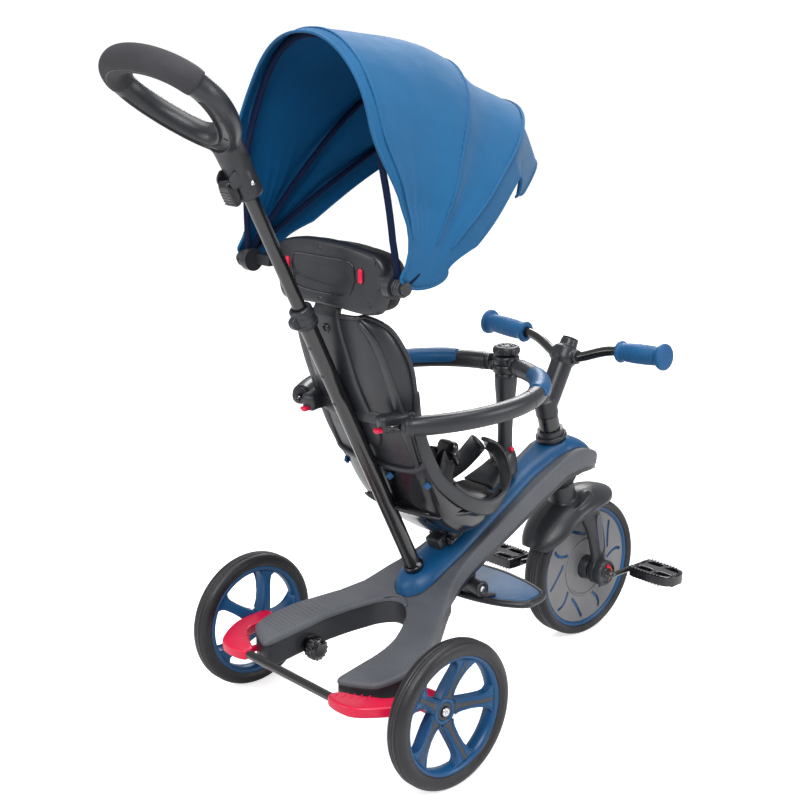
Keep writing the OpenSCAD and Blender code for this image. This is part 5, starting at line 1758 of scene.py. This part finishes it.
def liner():
    """Padded liner of the bucket, as wide as the shell's inside, with side bolsters."""
    rows = shell_rows(SHELL_STATIONS[1:], 3)
    n = 24
    outer = [[shell_point(r, -0.93 + 1.86 * i / n, inset=8.0) for i in range(n + 1)] for r in rows]
    inner = []
    for r, line in zip(rows, outer):
        back, front = vec(r[0], 0, r[1]), vec(r[2], 0, r[3])
        to_front = (front - back).normalized()
        out = []
        for i, p in enumerate(line):
            s = -0.93 + 1.86 * i / n
            thick = 13 + 7 * abs(s) ** 2 - 9 * max(0, abs(s) - 0.78) / 0.15
            inward = vec(to_front.x, 0, to_front.z) * math.cos(s * 1.35) + vec(0, -math.copysign(1, s),
                    0) * math.sin(abs(s) * 1.35)
            out.append(p + inward.normalized() * thick)
        inner.append(out)
    m = n + 1
    k = len(rows)
    verts = [p for line in outer for p in line] + [p for line in inner for p in line]
    faces = []
    q = k * m
    for a in range(k - 1):
        for i in range(n):
            faces.append((a * m + i, a * m + i + 1, (a + 1) * m + i + 1, (a + 1) * m + i))
            faces.append((q + a * m + i, q + (a + 1) * m + i, q + (a + 1) * m + i + 1, q + a * m + i + 1))
    for i in range(n):
        faces.append((i, q + i, q + i + 1, i + 1))
        faces.append(((k - 1) * m + i, (k - 1) * m + i + 1, q + (k - 1) * m + i + 1, q + (k - 1) * m + i))
    for a in range(k - 1):
        faces.append((a * m, (a + 1) * m, q + (a + 1) * m, q + a * m))
        faces.append((a * m + n, q + a * m + n, q + (a + 1) * m + n, (a + 1) * m + n))
    pad = make("seat_liner", verts, faces, PAD)
    inflate(pad, 3.0, 4.0)

    def seams(x, y, z):
        d = 0.0
        if z > 300 or x > 120:
            d += groove(abs(abs(y) - 46), 2.6, 3.0)
            if abs(y) < 46:      # cross channels up the back
                d += sum(groove(abs(z - (335 + 38 * channel)), 2.4, 2.0) for channel in range(6))
        return d
    quilt(pad, seams)
    put(pad, "seat", "pad_fabric", "seat_pad")


liner()


def head_cushion():
    rings = []
    for x, shrink in ((-15, 8), (-14, 4), (-10, 2.6), (0, 2.4), (8, 3), (13, 6), (15.5, 12), (16.5, 24),
                      (17, 36)):
        rings.append([vec(x + head_x(y) * 0.9, y, z) for y, z in head_loop(shrink, 4)])
    pad = skin("headrest_cushion", rings, PAD)
    inflate(pad, 4.0, 5.0, 4.5)
    quilt(pad, lambda x, y, z: (groove(abs(abs(y) - 58), 2.4, 2.2)
                                + groove(abs(z - 645), 2.4, 1.6) * (abs(y) < 58)) if x > 4 + head_x(y) * 0.9
          else 0.0)
    put(pad, "seat", "pad_fabric", "headrest_pad")


head_cushion()


def strap_face(z, y, lift):
    """Point on the liner's front face at a height, for what lies on it."""
    table = [(300, 128), (314, 122), (361, 106), (409, 82), (459, 58), (509, 34), (545, 18)]
    return vec(lookup(z, table) + lift, y, z)


def harness():
    parts = []
    for side in (-1, 1):
        line = [strap_face(z, side * lookup(z, [(330, 56), (400, 44), (470, 36), (530, 30)]), 5.5)
                for z in range(530, 330, -12)]
        line = [strap_face(538, side * 29, -3)] + line
        line += [vec(146, side * 40, 338), vec(168, side * 24, 350), vec(186, side * 12, 358)]
        parts.append(sweep("shoulder", curve(line, 3), (12.0, 1.1), WEB, ref=(0.9, 0, 0.45), n=16, power=4))
        pad_line = [strap_face(z, side * lookup(z, [(330, 56), (400, 44), (470, 36), (530, 30)]), 8.0)
                    for z in range(520, 400, -10)]
        parts.append(sweep("strap_pad", pad_line, lambda t: (17 - 3 * abs(2 * t - 1) ** 4, 3.6), PAD,
                           ref=(0.9, 0, 0.45), n=24, power=3,
                           round_ends=2.5))
        waist = [vec(120, side * 72, 326), vec(136, side * 58, 332), vec(158, side * 36, 344),
                 vec(184, side * 16, 354)]
        parts.append(sweep("waist", curve(waist, 5), (11, 1.1), WEB, ref=(-0.2, 0.1, 1), n=16, power=4))
    crotch = [vec(184, 0, 283), vec(187, 0, 300), vec(192, 0, 322), vec(196, 0, 342)]
    parts.append(sweep("crotch", curve(crotch, 5), (12.5, 1.2), WEB, ref=(1, 0, -0.25), n=16, power=4))
    cover = [vec(187, 0, 296), vec(191, 0, 318), vec(195, 0, 338)]
    parts.append(sweep("crotch_pad", curve(cover, 5), (16.5, 3.4), PAD, ref=(1, 0, -0.25), n=24, power=3.2,
                       round_ends=2))
    piece("harness_straps", parts, "seat", "strap", "harness")
    n_dir = vec(0.97, 0, -0.24)
    up_dir = vec(0.24, 0, 0.97)
    body = [sweep("buckle", [vec(196, 0, 359) + up_dir * s for s in (-17, -13, 0, 12, 17)],
                  taper([(0, 14), (0.3, 17.5), (0.8, 18.5), (1, 16)], [(0, 5.5), (0.5, 7.5), (1, 6)]),
                  GLOSS, ref=n_dir,
                  n=40, power=3.4, round_ends=3)]
    for side in (-1, 1):
        tongue = [vec(194, side * 14, 360), vec(190, side * 24, 360), vec(182, side * 33, 358)]
        body.append(sweep("tongue", tongue, (7.5, 3.0), GLOSS, ref=(0.9, 0, 0.3), n=20, power=3.2,
                          round_ends=2))
        for k in range(3):
            q = vec(190 - k * 3.4, side * (24 + k * 3.6), 360) + n_dir * 3.2
            body.append(sweep("rib", [q - up_dir * 5, q + up_dir * 5], 0.9, GLOSS, n=8, ref=(1, 0, 0)))
    body.append(sweep("press", [vec(196, 0, 359) + n_dir * 7.2 + up_dir * s for s in (-6, 0, 6)], (6, 1.6),
                      DARK, ref=n_dir, n=24,
                      round_ends=4))
    piece("harness_buckle", body, "seat", "strap")


harness()
